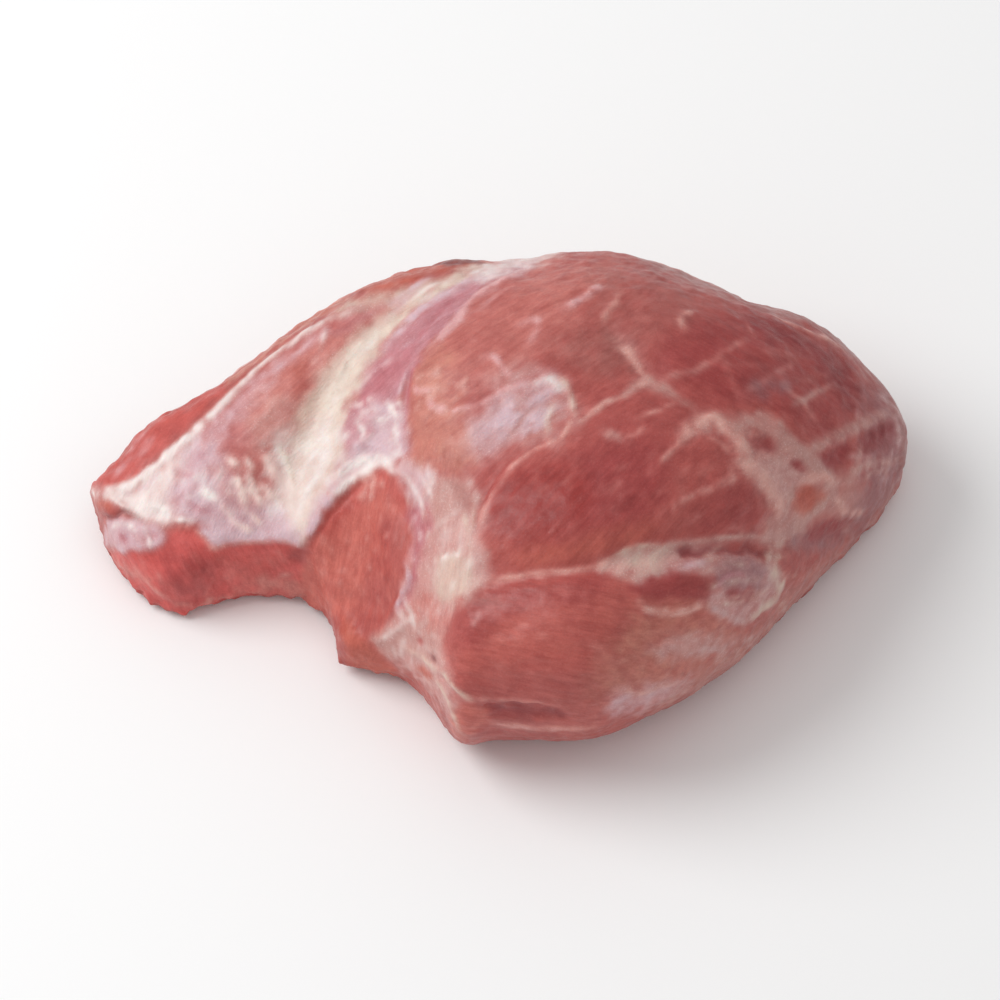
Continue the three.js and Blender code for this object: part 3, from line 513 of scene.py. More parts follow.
    "film streak d": ("dull", 0.5, 5, -0.3, [(506, 440), (522, 420), (536, 402)]),
    "film vein b": ("cream", 0.85, 5, 0.6, [(560, 376), (568, 388), (572, 400), (574, 412), (580, 421)]),
    "film vein c": ("thread", 0.85, 5, 0.5, [(572, 414), (568, 428), (562, 438), (553, 443), (547, 438)]),
    "film vein d": ("cream", 0.6, 5, 0.4, [(556, 402), (550, 412), (547, 424), (549, 436)]),
    "film vein e": ("blush", 0.8, 6, 0.3, [(484, 355), (496, 358), (504, 368), (516, 380)]),
    "film vein f": ("blush", 0.8, 6, 0.2, [(474, 408), (492, 396), (512, 386), (530, 378)]),
    "film tail": ("web", 0.8, 8, 0.3, [
        (580, 423), (592, 414), (606, 403), (622, 397), (634, 388), (648, 382), (660, 384)]),
    "film tail, bright": ("thread", 0.8, 5, 0.4, [(582, 421), (596, 410), (610, 402), (624, 398)]),
    "upper seam": ("web", 0.75, 10, 0.3, [
        (612, 332), (620, 342), (630, 352), (642, 368), (652, 380), (664, 388), (682, 400), (704, 413)]),
    "upper seam, bright": ("thread", 0.95, 6, 0.4, [(622, 344), (632, 356), (640, 367), (650, 378)]),
    "seam's spread": ("web", 0.7, 14, 0.2, [(634, 386), (648, 382), (660, 390), (672, 394)]),
    "seam's spread, bright": ("thread", 0.7, 5, 0.3, [(634, 388), (644, 382), (656, 383), (664, 390)]),
    "upper seam's furrow": ("none", 0.0, 14, -1.3, [
        (604, 320), (620, 342), (646, 372), (680, 396), (704, 414)]),
    "upper branch": ("web", 0.65, 7, 0.2, [(664, 378), (682, 374), (698, 369), (712, 360)]),
    "fleck a": ("blush", 1.0, 9, 0.9, [(562, 311), (574, 303), (586, 296), (596, 288), (606, 287)]),
    "fleck b": ("thread", 0.9, 6, 0.6, [(620, 294), (614, 305), (606, 313), (603, 321)]),
    "fleck c": ("thread", 0.85, 6, 0.4, [(694, 312), (686, 316), (681, 322), (686, 330)]),
    "dome curl": ("blush", 0.7, 7, 0.3, [(518, 325), (530, 319), (538, 321), (535, 335), (527, 346)]),
    "dome spot a": ("blush", 1.0, 7, 0.5, [(414, 386), (420, 392), (430, 392)]),
    "dome spot b": ("blush", 1.0, 8, 0.5, [(428, 402), (436, 408), (446, 408)]),
    "dome spot c": ("blush", 0.8, 6, 0.3, [(450, 412), (462, 408), (474, 404)]),
    "muscle mark a": ("web", 0.6, 12, 0.1, [(604, 430), (614, 436), (624, 440)]),
    "muscle mark b": ("pink", 0.65, 5, 0.1, [(624, 437), (636, 434), (644, 427)]),
    "muscle mark c": ("pink", 0.7, 5, 0.2, [(636, 420), (656, 411), (678, 402)]),
    "muscle mark d": ("thread", 0.75, 5, 0.3, [(660, 462), (668, 455), (675, 448)]),
    "net arc": ("pink", 0.75, 6, 0.2, [(690, 430), (680, 440), (672, 450), (662, 462)]),
    "net branch a": ("pink", 0.7, 7, 0.2, [(740, 478), (722, 484), (704, 492), (688, 498), (674, 506)]),
    "net rope": ("thread", 1.0, 17, 0.7, [
        (682, 438), (692, 428), (704, 420), (716, 420), (727, 427), (737, 439), (743, 451), (749, 463)]),
    "net rope, bright": ("thread", 1.0, 18, 0.7, [
        (736, 472), (748, 468), (758, 473), (766, 483), (771, 494), (777, 504), (788, 513)]),
    "net fold": ("thread", 0.6, 5, 0.3, [(706, 440), (714, 440), (722, 446), (728, 452)]),
    "net band": ("web", 1.0, 16, 0.6, [
        (732, 427), (746, 420), (762, 420), (776, 429), (784, 440), (794, 450), (806, 458), (816, 466),
        (826, 476), (832, 490), (834, 502)]),
    "net bead": ("thread", 0.95, 10, 0.5, [(806, 481), (815, 477), (826, 477), (836, 483)]),
    "net curl": ("thread", 1.0, 8, 0.4, [(834, 498), (842, 508), (852, 513), (864, 512)]),
    "net link a": ("web", 1.0, 12, 0.4, [(786, 534), (798, 526), (808, 518), (818, 508), (830, 500)]),
    "net link b": ("web", 0.9, 10, 0.3, [(776, 542), (782, 528), (786, 514), (790, 500), (798, 486)]),
    "net spot a": ("deep", 0.75, 8, -0.5, [(791, 463), (798, 465), (806, 470)]),
    "net spot d": ("deep", 0.5, 12, -0.4, [(752, 442), (762, 444), (774, 447)]),
    "net spot e": ("deep", 0.9, 14, -0.5, [(828, 458), (838, 454), (846, 446)]),
    "net spot f": ("orange", 0.9, 16, -0.5, [(806, 494), (812, 500), (808, 508)]),
    "net spot g": ("deep", 0.85, 11, -0.4, [(814, 530), (828, 526), (848, 524)]),
    "net spot h": ("dark", 0.85, 14, -0.4, [(866, 438), (878, 434), (888, 428)]),
    "muscle squiggle": ("pink", 0.5, 5, 0.2, [(722, 534), (730, 527), (738, 530), (746, 524)]),
    "thick strand": ("web", 0.85, 13, 0.7, [
        (894, 410), (874, 419), (854, 428), (836, 436), (818, 445), (798, 451)]),
    "cross a": ("pink", 0.65, 6, 0.1, [(700, 366), (716, 358), (732, 347), (747, 339)]),
    "cross b": ("pink", 0.55, 7, 0.1, [(746, 390), (760, 384), (776, 373), (797, 361)]),
    "cross c": ("pink", 0.7, 6, 0.1, [(776, 374), (790, 390), (804, 404), (818, 422)]),
    "cross d": ("web", 0.75, 6, 0.2, [(790, 406), (804, 400), (818, 392), (834, 384)]),
    "cross e": ("pink", 0.45, 5, 0.1, [(745, 319), (750, 330), (755, 339)]),
    "cross haze": ("mauve", 0.5, 24, 0.0, [(752, 392), (772, 384), (790, 378)]),
    "end line a": ("web", 0.95, 7, 0.2, [(846, 476), (862, 467), (880, 463), (902, 461)]),
    "end line e": ("web", 0.7, 5, 0.2, [(862, 480), (872, 473), (884, 470), (888, 478)]),
    "end line c": ("film", 0.5, 6, 0.1, [(893, 414), (899, 432), (898, 452)]),
    "far rim, light": ("thread", 0.75, 6, 0.5, [
        (764, 312), (776, 316), (795, 325), (814, 334), (832, 343), (843, 352)]),
    "far rim, light b": ("film", 0.6, 8, 0.3, [(844, 353), (856, 366), (866, 378)]),
    "far rim, light c": ("film", 0.5, 7, 0.3, [(880, 396), (892, 404), (900, 416)]),
}

# Threads scattered over a part: middle, reach, direction and spread in degrees, shortest and longest,
# how many, width, colour, how dense.
FRONT_THREADS = {
    "net": ((812, 484), (44, 44), 20, 90, 14, 34, 16, 6, "web", 0.5),
    "round end": ((872, 448), (30, 50), 30, 60, 16, 40, 18, 5, "film", 0.3),
    "loop": ((730, 586), (50, 28), 8, 40, 16, 44, 20, 4, "tan", 0.4),
    "low right": ((700, 662), (56, 34), 18, 30, 20, 50, 14, 6, "film", 0.3),
    "upper right": ((770, 372), (80, 44), -35, 50, 26, 80, 12, 5, "pink", 0.18),
    "dome": ((560, 330), (86, 44), 35, 18, 20, 60, 14, 7, "pink", 0.12),
    "slab": ((222, 500), (50, 26), 78, 30, 8, 22, 24, 5, "white", 0.4),
    "slab fascia": ((160, 480), (50, 30), 40, 16, 16, 40, 14, 5, "lavender", 0.45),
    "slab muscle": ((280, 400), (50, 50), 44, 12, 26, 60, 12, 6, "pink", 0.22),
    "central": ((610, 490), (90, 50), 50, 16, 8, 22, 50, 4, "pink", 0.2),
    "strip": ((440, 560), (40, 80), 80, 40, 14, 36, 34, 5, "white", 0.3),
    "membrane": ((424, 656), (26, 40), 120, 50, 10, 26, 22, 4, "white", 0.35),
    "lower": ((570, 660), (100, 40), -12, 14, 18, 54, 26, 5, "pink", 0.12),
    "dome film": ((510, 420), (28, 18), 38, 10, 16, 36, 22, 6, "lavender", 0.5),
    "valley": ((330, 420), (40, 80), 62, 14, 24, 70, 16, 5, "white", 0.25),
    "slope": ((430, 320), (60, 40), 38, 8, 30, 70, 12, 6, "lavender", 0.3),
    "cut": ((220, 572), (90, 24), -72, 14, 10, 26, 30, 4, "pink", 0.25),
    "hollow": ((356, 550), (36, 66), 78, 90, 2, 7, 70, 4, "pink", 0.4),
    "hollow's top": ((370, 490), (14, 12), 60, 60, 4, 9, 26, 6, "thread", 0.6),
    "dome's foot": ((440, 392), (28, 20), 20, 60, 3, 10, 26, 5, "thread", 0.5),
    "valley's foot": ((372, 430), (28, 30), 50, 60, 4, 14, 34, 5, "white", 0.55),
    "valley's foot, wine": ((370, 428), (26, 30), 50, 60, 4, 12, 14, 5, "wine", 0.5),
}

# The far side's marks, in the same form, in the pixels of a camera behind the meat.
BACK_WASHES = {
    # Painted light and shade on the far side: lighter high up, darker low down.
    "lit meat": ("glow", 0.5, 40, 0.0, [(330, 380), (520, 360), (640, 430), (600, 500), (420, 480)]),
    "far side's painted shade, low down": ("deep", 0.6, 30, 0.0, [
        (140, 640), (220, 636), (300, 650), (420, 662), (560, 652), (700, 630), (640, 690), (400, 700),
        (200, 690)]),
    "cap": ("film", 0.6, 16, 0.0, [
        (120, 560), (150, 520), (200, 500), (270, 506), (350, 500), (400, 520), (340, 540), (260, 548),
        (190, 566), (150, 600)]),
    "cap's window": ("deep", 0.8, 8, -0.4, [(190, 530), (222, 516), (252, 522), (240, 538), (206, 544)]),
    "fat roll's film": ("film", 0.6, 14, 0.0, [
        (196, 590), (260, 560), (350, 548), (450, 546), (560, 560), (660, 586), (700, 612), (640, 632),
        (540, 644), (430, 650), (330, 642), (240, 628)]),
    "fat roll": ("tan", 0.85, 8, 0.5, [
        (226, 596), (262, 572), (300, 576), (338, 562), (392, 566), (440, 558), (490, 572), (536, 574),
        (584, 590), (640, 600), (600, 618), (560, 616), (520, 630), (462, 626), (410, 636), (360, 624),
        (300, 630), (262, 614)]),
    "fat roll, left lobe": ("cream", 0.75, 7, 0.8, [
        (250, 596), (284, 582), (330, 576), (372, 584), (364, 604), (320, 614), (276, 610)]),
    "fat roll, middle lobe": ("cream", 0.75, 7, 0.8, [
        (390, 584), (430, 572), (480, 582), (506, 600), (470, 614), (420, 616), (392, 604)]),
    "fat roll, right lobe": ("cream", 0.6, 7, 0.6, [
        (524, 592), (560, 592), (604, 604), (570, 612), (530, 608)]),
    "red cleft": ("red", 0.8, 5, -0.8, [
        (374, 570), (384, 584), (380, 604), (388, 628), (376, 624), (370, 596)]),
    "slab back": ("film", 0.8, 12, 0.0, [
        (650, 566), (690, 548), (740, 540), (800, 546), (850, 566), (880, 592), (840, 606), (790, 600),
        (740, 618), (690, 614), (660, 596)]),
    "slab back's fat": ("white", 0.65, 9, 0.4, [
        (700, 570), (740, 556), (790, 562), (830, 580), (800, 590), (750, 596), (716, 592)]),
    "low film": ("film", 0.5, 12, 0.0, [
        (300, 664), (360, 656), (430, 668), (500, 664), (470, 684), (390, 690), (320, 684)]),
    "end": ("mauve", 0.5, 20, 0.0, [(86, 480), (150, 440), (180, 520), (170, 600), (90, 600)]),
}

BACK_STROKES = {
    "long seam": ("thread", 0.85, 8, 0.5, [
        (160, 552), (230, 536), (300, 528), (380, 520), (470, 526), (560, 540), (650, 548), (740, 552),
        (850, 576)]),
    "long furrow": ("deep", 0.6, 9, -1.6, [
        (160, 560), (230, 545), (300, 537), (380, 529), (470, 535), (560, 549), (650, 557), (740, 562)]),
    "roll's upper edge": ("white", 0.8, 6, 0.4, [
        (240, 582), (290, 566), (340, 554), (400, 556), (450, 550), (510, 562), (580, 578), (640, 592)]),
    "roll's lower edge": ("thread", 0.8, 6, 0.4, [
        (236, 608), (280, 626), (340, 630), (400, 640), (470, 634), (530, 634), (600, 622), (660, 612)]),
    "slab edge": ("thread", 0.8, 8, 0.6, [(600, 556), (660, 546), (740, 536), (820, 550), (890, 580)]),
    "low seam": ("thread", 0.75, 7, 0.5, [
        (150, 620), (220, 640), (300, 652), (400, 656), (520, 650), (620, 640), (720, 626)]),
    "low furrow": ("deep", 0.6, 8, -1.2, [(220, 648), (300, 660), (400, 665), (520, 658), (620, 648)]),
    "branch a": ("pink", 0.8, 7, 0.3, [(640, 600), (680, 618), (720, 622), (780, 612)]),
    "branch b": ("pink", 0.7, 7, 0.3, [(160, 640), (190, 618), (206, 600), (236, 590)]),
    "branch c": ("pink", 0.7, 6, 0.3, [(430, 640), (452, 656), (480, 668), (520, 676)]),
    "branch d": ("thread", 0.7, 6, 0.3, [(110, 560), (140, 590), (150, 620), (146, 650)]),
}

BACK_THREADS = {
    "all over": ((500, 560), (340, 110), 6, 34, 24, 80, 60, 5, "pink", 0.3),
    "left net": ((200, 560), (80, 60), 30, 90, 18, 50, 34, 5, "film", 0.5),
    "roll": ((430, 596), (200, 34), 4, 24, 20, 60, 40, 5, "white", 0.45),
    "right net": ((770, 576), (100, 30), 0, 40, 18, 54, 30, 5, "white", 0.5),
}

# Where the muscle fibres run: middle, reach, direction in degrees.
FIBRES = {
    "dome": ((530, 340), (110, 80), 36),
    "slab muscle": ((290, 400), (90, 90), 42),
    "slab": ((220, 480), (70, 50), 60),
    "central": ((600, 500), (110, 60), 48),
    "upper right": ((770, 360), (100, 60), -28),
    "right": ((720, 480), (60, 60), 40),
    "lower": ((560, 650), (130, 60), -10),
    "lower right": ((740, 610), (80, 60), 14),
    "cut": ((200, 575), (100, 28), -64),
    "hollow": ((355, 560), (46, 80), 78),
    "strip": ((435, 570), (34, 90), 84),
}


def smoothstep(low, high, value):
    """From 0 where the value is low to 1 where it is high, without corners."""
    t = np.clip((value - low) / (high - low), 0.0, 1.0)
    return t * t * (3 - 2 * t)


def lumps(points, size, octaves, seed):
    """Smooth noise, about -1 to 1, at each point. size is the length of a lump in the points' own unit."""
    shift = Vector([seed * step for step in (17.3, 9.1, 4.7)])
    return np.array([noise.fractal(Vector(p) / size + shift, 1.0, 2.0, octaves) for p in points])


def view_axes(azimuth, elevation):
    """Towards the camera, to the right and up, for a camera round the meat."""
    turn = math.radians(azimuth)
    rise = math.radians(elevation)
    level = math.cos(rise)
    towards = np.array([math.sin(turn) * level, -math.cos(turn) * level, math.sin(rise)])
    right = np.array([math.cos(turn), math.sin(turn), 0.0])
    return towards, right, np.cross(towards, right)


def new_piece(name, data):
    piece = bpy.data.objects.new(name, data)
    bpy.context.scene.collection.objects.link(piece)
    return piece


def fine_mesh(source, name):
    """The CAD node's surface as a new piece, finest where the camera looks and coarse underneath."""
    bm = bmesh.new()
    bm.from_mesh(source.data)
    bmesh.ops.remove_doubles(bm, verts=bm.verts, dist=1e-6)
    bmesh.ops.join_triangles(bm, faces=bm.faces, angle_face_threshold=CORNER, angle_shape_threshold=CORNER)
    bm.normal_update()
    towards = Vector(view_axes(FRONT_VIEW["azimuth"], FRONT_VIEW["elevation"])[0])
    seen, hidden, under = set(), set(), set()
    for face in bm.faces:
        if face.normal.z < UNDERSIDE:
            under.update(face.edges)
        elif face.normal.dot(towards) > HIDDEN:
            seen.update(face.edges)
        else:
            hidden.update(face.edges)
    hidden -= seen
    under -= seen | hidden
    for edges, cuts in ((under, UNDERSIDE_CUTS), (hidden, HIDDEN_CUTS), (seen, SEEN_CUTS)):
        edges = sorted(edges, key=lambda edge: edge.index)
        bmesh.ops.subdivide_edges(bm, edges=edges, cuts=cuts, use_grid_fill=True)
    bmesh.ops.triangulate(bm, faces=[face for face in bm.faces if len(face.verts) > 4])
    mesh = bpy.data.meshes.new(name)
    bm.to_mesh(mesh)
    bm.free()
    return new_piece(name, mesh)


def read_points(mesh):
    flat = np.empty(len(mesh.vertices) * 3)
    mesh.vertices.foreach_get("co", flat)
    return flat.reshape(-1, 3) / MM


def write_points(mesh, points):
    mesh.vertices.foreach_set("co", (points * MM).ravel())
    mesh.update()


def evened(mesh, values, rounds):
    """The values at the mesh's points, each brought halfway to the mean of its neighbours, a few times."""
    edges = np.empty(len(mesh.edges) * 2, dtype=np.int32)
    mesh.edges.foreach_get("vertices", edges)
    a, b = edges.reshape(-1, 2).T
    total = len(values)
    count = np.bincount(edges, minlength=total)[:, None]
    for _ in range(rounds):
        sums = np.zeros_like(values)
        for k in range(values.shape[1]):
            sums[:, k] = np.bincount(a, values[b, k], total) + np.bincount(b, values[a, k], total)
        values = (values + sums / count) / 2
    return values


class View:
    """One viewing direction, with places on its picture in pixels, as the camera there would see them."""

    def __init__(self, points, azimuth, elevation, middle):
        self.towards, self.right, self.up = view_axes(azimuth, elevation)
        self.target = (points.min(0) + points.max(0)) / 2
        # A few corrections bring the points' middle to where it is asked for on the picture.
        for _ in range(3):
            seen = self.pixels(points)
            off = (seen.min(0) + seen.max(0)) / 2 - np.array(middle)
            self.target = self.target + (self.right * off[0] - self.up * off[1]) * MM_PER_PX
        self.place = self.target + self.towards * CAMERA_DISTANCE

    def pixels(self, points):
        local = points - self.target
        grow = CAMERA_DISTANCE / (CAMERA_DISTANCE - local @ self.towards) / MM_PER_PX
        across = local @ self.right * grow
        up = local @ self.up * grow
        return np.stack([FRAME_PX / 2 + across, FRAME_PX / 2 - up], axis=1)

    def ray(self, px, py):
        """Where a ray through a pixel starts, and its direction, for Blender."""
        across = (px - FRAME_PX / 2) * MM_PER_PX
        up = (FRAME_PX / 2 - py) * MM_PER_PX
        end = self.target + self.right * across + self.up * up
        return Vector(self.place * MM), Vector(end - self.place).normalized()


def smooth_curve(points, closed=False, per_span=6):
    """Catmull-Rom curve through 2-D points."""
    p = [np.array(q, float) for q in points]
    if closed:
        p = [p[-1]] + p + [p[0], p[1]]
    else:
        p = [2 * p[0] - p[1]] + p + [2 * p[-1] - p[-2]]
    out = []
    for before, start, end, after in zip(p, p[1:], p[2:], p[3:]):
        for k in range(per_span):
            t = k / per_span
            bend = 2 * before - 5 * start + 4 * end - after
            twist = 3 * start - before - 3 * end + after
            out.append((2 * start + (end - before) * t + bend * t * t + twist * t**3) / 2)
    if not closed:
        out.append(p[-2])
    return np.array(out)


def depth_inside(curve, pixels):
    """Signed distance in pixels to a closed curve, positive inside."""
    gap = np.full(len(pixels), 1e9)
    inside = np.zeros(len(pixels), bool)
    x, y = pixels.T
    for (ax, ay), (bx, by) in zip(curve, np.roll(curve, -1, axis=0)):
        dx, dy = bx - ax, by - ay
        t = np.clip(((x - ax) * dx + (y - ay) * dy) / max(dx * dx + dy * dy, 1e-9), 0, 1)
        gap = np.minimum(gap, np.hypot(x - ax - t * dx, y - ay - t * dy))
        if ay != by:
            inside ^= ((ay > y) != (by > y)) & (x < ax + (y - ay) / (by - ay) * dx)
    return np.where(inside, gap, -gap)


class Skin:
    """The meat's points, with the paint and the rise in mm that each of them gets."""

    def __init__(self, piece, view):
        self.mesh = piece.data
        self.points = read_points(self.mesh)
        normals = np.empty(len(self.points) * 3)
        self.mesh.vertex_normals.foreach_get("vector", normals)
        self.normals = normals.reshape(-1, 3)
        self.tree = BVHTree.FromObject(piece, bpy.context.evaluated_depsgraph_get())
        self.find_fibres(view)
        self.wisps = lumps(self.fibre * (0.45, 1.0, 0.6), 3.0, octaves=2, seed=8) * self.steady
        self.flecks = np.clip(1 + 0.9 * lumps(self.points, 5.0, octaves=2, seed=9), 0.3, 1.5)
        self.wavy = self.points + STROKE_WANDER * self.wander(7.0, seed=13)
        self.rise = np.zeros(len(self.points))
        broad = smoothstep(-0.6, 0.6, lumps(self.points, 55.0, octaves=2, seed=1))[:, None]
        base, lit = (np.array(PALETTE[name]) / 255 for name in ("red", "glow"))
        self.paint = base + (lit - base) * LIT_MEAT * broad

    def find_fibres(self, view):
        """For each point, a place in mm along the fibres, across them and towards the camera.

        Steady is 1 where one direction rules and falls to 0 where it changes to another.
        """
        pixels = view.pixels(self.points)
        nearest = second = np.full(len(self.points), 1e9)
        turns = np.zeros(len(self.points))
        for middle, reach, turn in FIBRES.values():
            gap = np.hypot(*((pixels - middle) / reach).T)
            turns[gap < nearest] = math.radians(turn)
            second = np.minimum(second, np.maximum(gap, nearest))
            nearest = np.minimum(gap, nearest)
        self.steady = smoothstep(0.02, 0.16, second - nearest)
        x, y = ((pixels - FRAME_PX / 2) * MM_PER_PX).T
        along = x * np.cos(turns) - y * np.sin(turns)
        across = x * np.sin(turns) + y * np.cos(turns)
        self.fibre = np.stack([along, across, (self.points - view.target) @ view.towards], axis=1)

    def wander(self, size, seed):
        """A smooth random shift for each point, about -1 to 1 in x, y and z."""
        return np.stack([lumps(self.points, size, 2, seed + k) for k in range(3)], axis=1)

    def facing(self, view, low, high):
        """From 0 to 1, how much each point is turned towards the view."""
        return smoothstep(low, high, self.normals @ view.towards)

    def look_from(self, view, cover):
        """What follows is drawn in this view's pixels, as far as cover lets it."""
        self.view = view
        self.cover = cover

    def lay(self, colour, density, where=slice(None), wisp=0.35):
        """Lays colour over the points, broken into wisps where it is half dense."""
        a = np.clip(density, 0, 1)
        a = np.clip(a + wisp * self.wisps[where] * 4 * a * (1 - a), 0, 1)[:, None]
        self.paint[where] += (np.array(PALETTE[colour]) / 255 - self.paint[where]) * a

    def washes(self, washes, seed):
        """Patches with a soft edge."""
        pixels = self.view.pixels(self.points + WASH_WANDER * self.wander(7.0, seed))
        for colour, density, soft, rise, outline in washes.values():
            depth = depth_inside(smooth_curve(outline, closed=True, per_span=3), pixels)
            cover = self.cover * smoothstep(-soft, soft, depth)
            if colour == "none":
                self.rise += rise * smoothstep(-soft, soft, depth)
            else:
                self.lay(colour, density * cover)
                self.rise += rise * cover

    def stroke(self, colour, density, width, rise, points):
        """One soft line on the surface, thinner towards its ends. width is in pixels."""
        hits = [self.tree.ray_cast(*self.view.ray(px, py))[0] for px, py in smooth_curve(points)]
        chain = np.array([list(hit) for hit in hits if hit is not None]) / MM
        if len(chain) < 2:
            return
        half = width * MM_PER_PX / 2
        reach = 2.4 * half
        low, high = chain.min(0) - reach, chain.max(0) + reach
        found = np.where(np.all((self.points > low) & (self.points < high), axis=1))[0]
        start, step = chain[:-1], np.diff(chain, axis=0)
        offset = self.wavy[found][:, None, :] - start
        share = np.clip((offset * step).sum(2) / np.maximum((step * step).sum(1), 1e-9), 0, 1)
        gaps = np.linalg.norm(offset - share[..., None] * step, axis=2)
        best = gaps.argmin(1)
        rows = np.arange(len(best))
        gap = gaps[rows, best]
        along = (best + share[rows, best]) / len(start)
        ends = smoothstep(0.0, 0.2, along) * smoothstep(0.0, 0.2, 1 - along)
        taper = self.cover[found] * (0.3 + 0.7 * ends)
        if colour != "none":
            line = 1 - smoothstep(0.2 * half, 1.8 * half, gap)
            self.lay(colour, density * taper * line * self.flecks[found], found)
        self.rise[found] += rise * taper * np.exp(-((gap / half) ** 2))

    def strokes(self, strokes):
        for mark in strokes.values():
            self.stroke(*mark)

    def threads(self, families, seed):
        """Many thin curved strokes at random places, family by family."""
        draw = random.Random(seed)
        for family in families.values():
            middle, reach, turn, spread, shortest, longest, count, width, colour, density = family
            for _ in range(count):
                angle = math.radians(turn + draw.uniform(-spread, spread))
                third = draw.uniform(shortest, longest) / 3
                bend = draw.uniform(-0.2, 0.2)
                x = middle[0] + reach[0] * draw.uniform(-1, 1)
                y = middle[1] + reach[1] * draw.uniform(-1, 1)
                points = []
                for _ in range(4):
                    points.append((x, y))
                    x += third * math.cos(angle)
                    y -= third * math.sin(angle)
                    angle += bend
                strong = density * draw.uniform(0.5, 1.3)
                wide = width * draw.uniform(0.8, 1.6)
                self.stroke(colour, strong, wide, THREAD_RISE, points)


def linear(colour):
    """From picture values to light, both 0 to 1."""
    return np.where(colour <= 0.04045, colour / 12.92, ((colour + 0.055) / 1.055) ** 2.4)


class Nodes:
    """Short ways to add shader nodes and join them."""

    def __init__(self, material):
        material.use_nodes = True
        self.tree = material.node_tree
        self.shader = self.tree.nodes["Principled BSDF"]

    def add(self, kind, inputs=(), **settings):
        node = self.tree.nodes.new(kind)
        for name, value in settings.items():
            setattr(node, name, value)
        for key, value in dict(inputs).items():
            self.feed(node.inputs[key], value)
        return node

    def feed(self, socket, value):
        if isinstance(value, bpy.types.NodeSocket):
            self.tree.links.new(value, socket)
        else:
            socket.default_value = value

    def math(self, operation, a, b):
        return self.add("ShaderNodeMath", {0: a, 1: b}, operation=operation).outputs[0]

    def layer(self, name, output):
        return self.add("ShaderNodeAttribute", attribute_name=name).outputs[output]

    def noise(self, place, scale, detail, rough):
        inputs = {"Vector": place, "Scale": scale, "Detail": detail, "Roughness": rough}
        return self.add("ShaderNodeTexNoise", inputs).outputs["Fac"]

    def faded(self, value, amount):
        """The value where amount is 1, and 0.5 where it is 0."""
        return self.math("ADD", self.math("MULTIPLY", self.math("SUBTRACT", value, 0.5), amount), 0.5)

    def stretch(self, place, x, y, z):
        return self.add("ShaderNodeVectorMath", {0: place, 1: (x, y, z)}, operation="MULTIPLY").outputs[0]

    def step(self, value, low, high, to_low=0.0, to_high=1.0):
        inputs = {"Value": value, "From Min": low, "From Max": high, "To Min": to_low, "To Max": to_high}
        return self.add("ShaderNodeMapRange", inputs, interpolation_type="SMOOTHSTEP").outputs["Result"]

    def mix(self, amount, a, b, blend="MIX"):
        """The colour sockets of a Mix node are found by number: 0, 6 and 7 in, 2 out."""
        inputs = {0: amount, 6: a, 7: b}
        return self.add("ShaderNodeMix", inputs, data_type="RGBA", blend_type=blend).outputs[2]

    def bump(self, height, strength, distance):
        """Adds to the bumps so far, if there are any."""
        inputs = {"Height": height, "Strength": strength, "Distance": distance}
        bump = self.add("ShaderNodeBump", inputs)
        for link in self.shader.inputs["Normal"].links:
            self.feed(bump.inputs["Normal"], link.from_socket)
        self.feed(self.shader.inputs["Normal"], bump.outputs["Normal"])


def meat_material():
    material = bpy.data.materials.new("raw_meat")
    n = Nodes(material)
    paint = n.layer("paint", "Color")
    pale = n.layer("pale", "Fac")
    steady = n.layer("steady", "Fac")
    fibre = n.layer("fibre", "Vector")
    place = n.layer("place", "Vector")

    streaks = n.faded(n.noise(n.stretch(fibre, 0.10, 0.9, 0.5), scale=0.6, detail=4.0, rough=0.6), steady)
    fine = n.faded(n.noise(n.stretch(fibre, 0.14, 1.1, 0.6), scale=2.2, detail=3.0, rough=0.6), steady)
    wrinkles = n.faded(n.noise(n.stretch(fibre, 0.3, 0.8, 0.8), scale=1.0, detail=4.0, rough=0.6), steady)
    mottle = n.noise(place, scale=0.11, detail=4.0, rough=0.6)
    grain = n.noise(place, scale=1.1, detail=4.0, rough=0.65)
    damp = n.noise(place, scale=0.2, detail=3.0, rough=0.6)

    tone = 0.0
    for pattern, share in ((streaks, 0.35), (fine, 0.12), (mottle, 0.38), (grain, 0.15)):
        tone = n.math("ADD", tone, n.math("MULTIPLY", pattern, share))
    shade = n.mix(n.step(tone, 0.34, 0.66), DARK_STREAKS, LIGHT_STREAKS)
    on_meat = n.math("SUBTRACT", 1.0, n.math("MULTIPLY", pale, 0.65))
    colour = n.mix(on_meat, paint, n.mix(1.0, paint, shade, "MULTIPLY"))
    haze = n.math("MULTIPLY", n.step(grain, 0.54, 0.72), n.step(pale, 0.0, 0.5, 0.03, 0.35))
    n.feed(n.shader.inputs["Base Color"], n.mix(haze, colour, HAZE))
    n.feed(n.shader.inputs["Roughness"], n.step(damp, 0.35, 0.7, 0.34, 0.55))

    n.bump(fine, strength=0.10, distance=0.0005)
    n.bump(grain, strength=0.35, distance=0.0005)
    n.bump(n.math("MULTIPLY", wrinkles, pale), strength=0.5, distance=0.0012)
    for name, value in WET_SURFACE.items():
        n.shader.inputs[name].default_value = value
    return material


def draw_marks(skin, front, back):
    """The far side's marks first, then the front's over them."""
    seen = skin.facing(front, *FRONT_EDGE)
    skin.look_from(back, skin.facing(back, *BACK_EDGE) * (1 - seen))
    skin.washes(BACK_WASHES, seed=31)
    skin.strokes(BACK_STROKES)
    skin.threads(BACK_THREADS, seed=5)
    skin.look_from(front, seen)
    skin.washes(FRONT_WASHES, seed=11)
    skin.threads(FRONT_THREADS, seed=3)
    skin.strokes(FRONT_STROKES)
    skin.paint = evened(skin.mesh, skin.paint, EVEN_PAINT_ROUNDS)
    skin.rise = evened(skin.mesh, skin.rise[:, None], EVEN_RISE_ROUNDS)[:, 0]


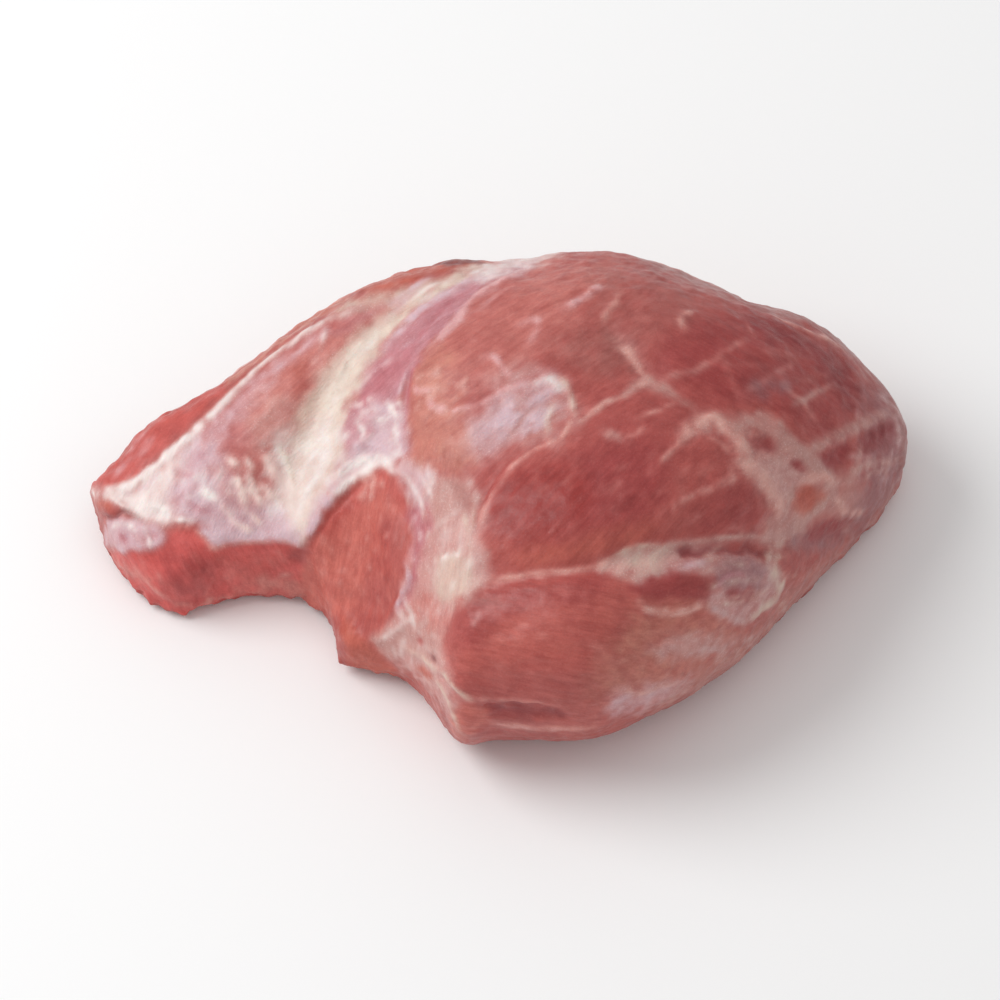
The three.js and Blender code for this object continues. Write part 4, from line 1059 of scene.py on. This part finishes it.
def raised_points(skin, pale):
    """The points with all relief. The underside stays flat on the table."""
    height = skin.points[:, 2]
    above = smoothstep(*FADE_IN, height)
    low_edge = 1 - smoothstep(*LOW_EDGE, height)
    ropes = lumps(skin.fibre * (0.12, 1.0, 0.6), 3.6, octaves=2, seed=4) * skin.steady
    swell = lumps(skin.points, 24.0, octaves=2, seed=2)
    ragged = lumps(skin.points, 7.0, octaves=3, seed=6)
    rough = ROUGH_RISE + PALE_ROUGH_RISE * pale + LOW_ROUGH_RISE * low_edge
    rise = skin.rise + ROPES_RISE * ropes + SWELL_RISE * swell + rough * ragged
    points = skin.points + skin.normals * (rise * above)[:, None]
    points[:, :2] += (LOW_EDGE_SHIFT * low_edge[:, None] * skin.wander(6.0, seed=21))[:, :2]
    points[:, 2] = np.maximum(points[:, 2], 0.0)
    return points


def keep_layer(mesh, name, kind, field, values):
    """Stores one value for each point, for the material to read."""
    layer = mesh.attributes.new(name, kind, "POINT")
    layer.data.foreach_set(field, values.astype(np.float32).ravel())


def build_meat():
    """Makes the meat and gives back the view from the front."""
    meat = fine_mesh(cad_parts["pork_leg"], "pork_leg_meat")
    mesh = meat.data
    points = read_points(mesh)
    points = np.where(points[:, 2:] > ON_TABLE, evened(mesh, points, EVEN_POINTS_ROUNDS), points)
    write_points(mesh, points)
    front = View(points, **FRONT_VIEW)
    back = View(points, **BACK_VIEW)
    skin = Skin(meat, front)
    draw_marks(skin, front, back)
    pale = smoothstep(*PALE_GREEN, skin.paint[:, 1])
    write_points(mesh, raised_points(skin, pale))

    paint = np.maximum(linear(np.clip(skin.paint, 0, 1)) - SHEEN, DARKEST)
    opaque = np.ones((len(paint), 1))
    keep_layer(mesh, "paint", "FLOAT_COLOR", "color", np.concatenate([paint, opaque], axis=1))
    keep_layer(mesh, "pale", "FLOAT", "value", pale)
    keep_layer(mesh, "steady", "FLOAT", "value", skin.steady)
    keep_layer(mesh, "fibre", "FLOAT_VECTOR", "vector", skin.fibre)
    keep_layer(mesh, "place", "FLOAT_VECTOR", "vector", skin.points)
    mesh.materials.clear()
    mesh.materials.append(meat_material())
    mesh.shade_smooth()
    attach(meat, "root")
    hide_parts("pork_leg")
    return front


def pale_floor():
    mesh = bpy.data.meshes.new("floor")
    reach = FLOOR_REACH
    corners = [(-reach, -reach, 0), (reach, -reach, 0), (reach, reach, 0), (-reach, reach, 0)]
    mesh.from_pydata(corners, [], [(0, 1, 2, 3)])
    material = bpy.data.materials.new("floor")
    shader = Nodes(material).shader
    shader.inputs["Base Color"].default_value = FLOOR_COLOUR
    shader.inputs["Roughness"].default_value = FLOOR_ROUGHNESS
    mesh.materials.append(material)
    new_piece("floor", mesh)


def soft_light(name, place, size, power):
    """A round lamp that shines at the meat."""
    light = bpy.data.lights.new(name, "AREA")
    light.shape = "DISK"
    light.size = size
    light.energy = power
    lamp = new_piece(name, light)
    lamp.location = place
    lamp.rotation_euler = (-Vector(place)).to_track_quat("-Z", "Y").to_euler()


def studio():
    world = bpy.data.worlds.new("studio")
    bpy.context.scene.world = world
    world.use_nodes = True
    sky = world.node_tree.nodes["Background"]
    sky.inputs["Color"].default_value = (1, 1, 1, 1)
    sky.inputs["Strength"].default_value = SKY_STRENGTH
    soft_light("key", **KEY_LIGHT)
    bpy.context.scene.view_settings.view_transform = "Standard"


def photo_camera(view):
    data = bpy.data.cameras.new("camera")
    data.lens = CAMERA_LENS
    data.sensor_width = CAMERA_SENSOR
    data.sensor_fit = "HORIZONTAL"
    camera = new_piece("camera", data)
    camera.location = Vector(view.place * MM)
    camera.rotation_euler = Vector(-view.towards).to_track_quat("-Z", "Y").to_euler()
    bpy.context.scene.camera = camera


front = build_meat()
pale_floor()
studio()
photo_camera(front)
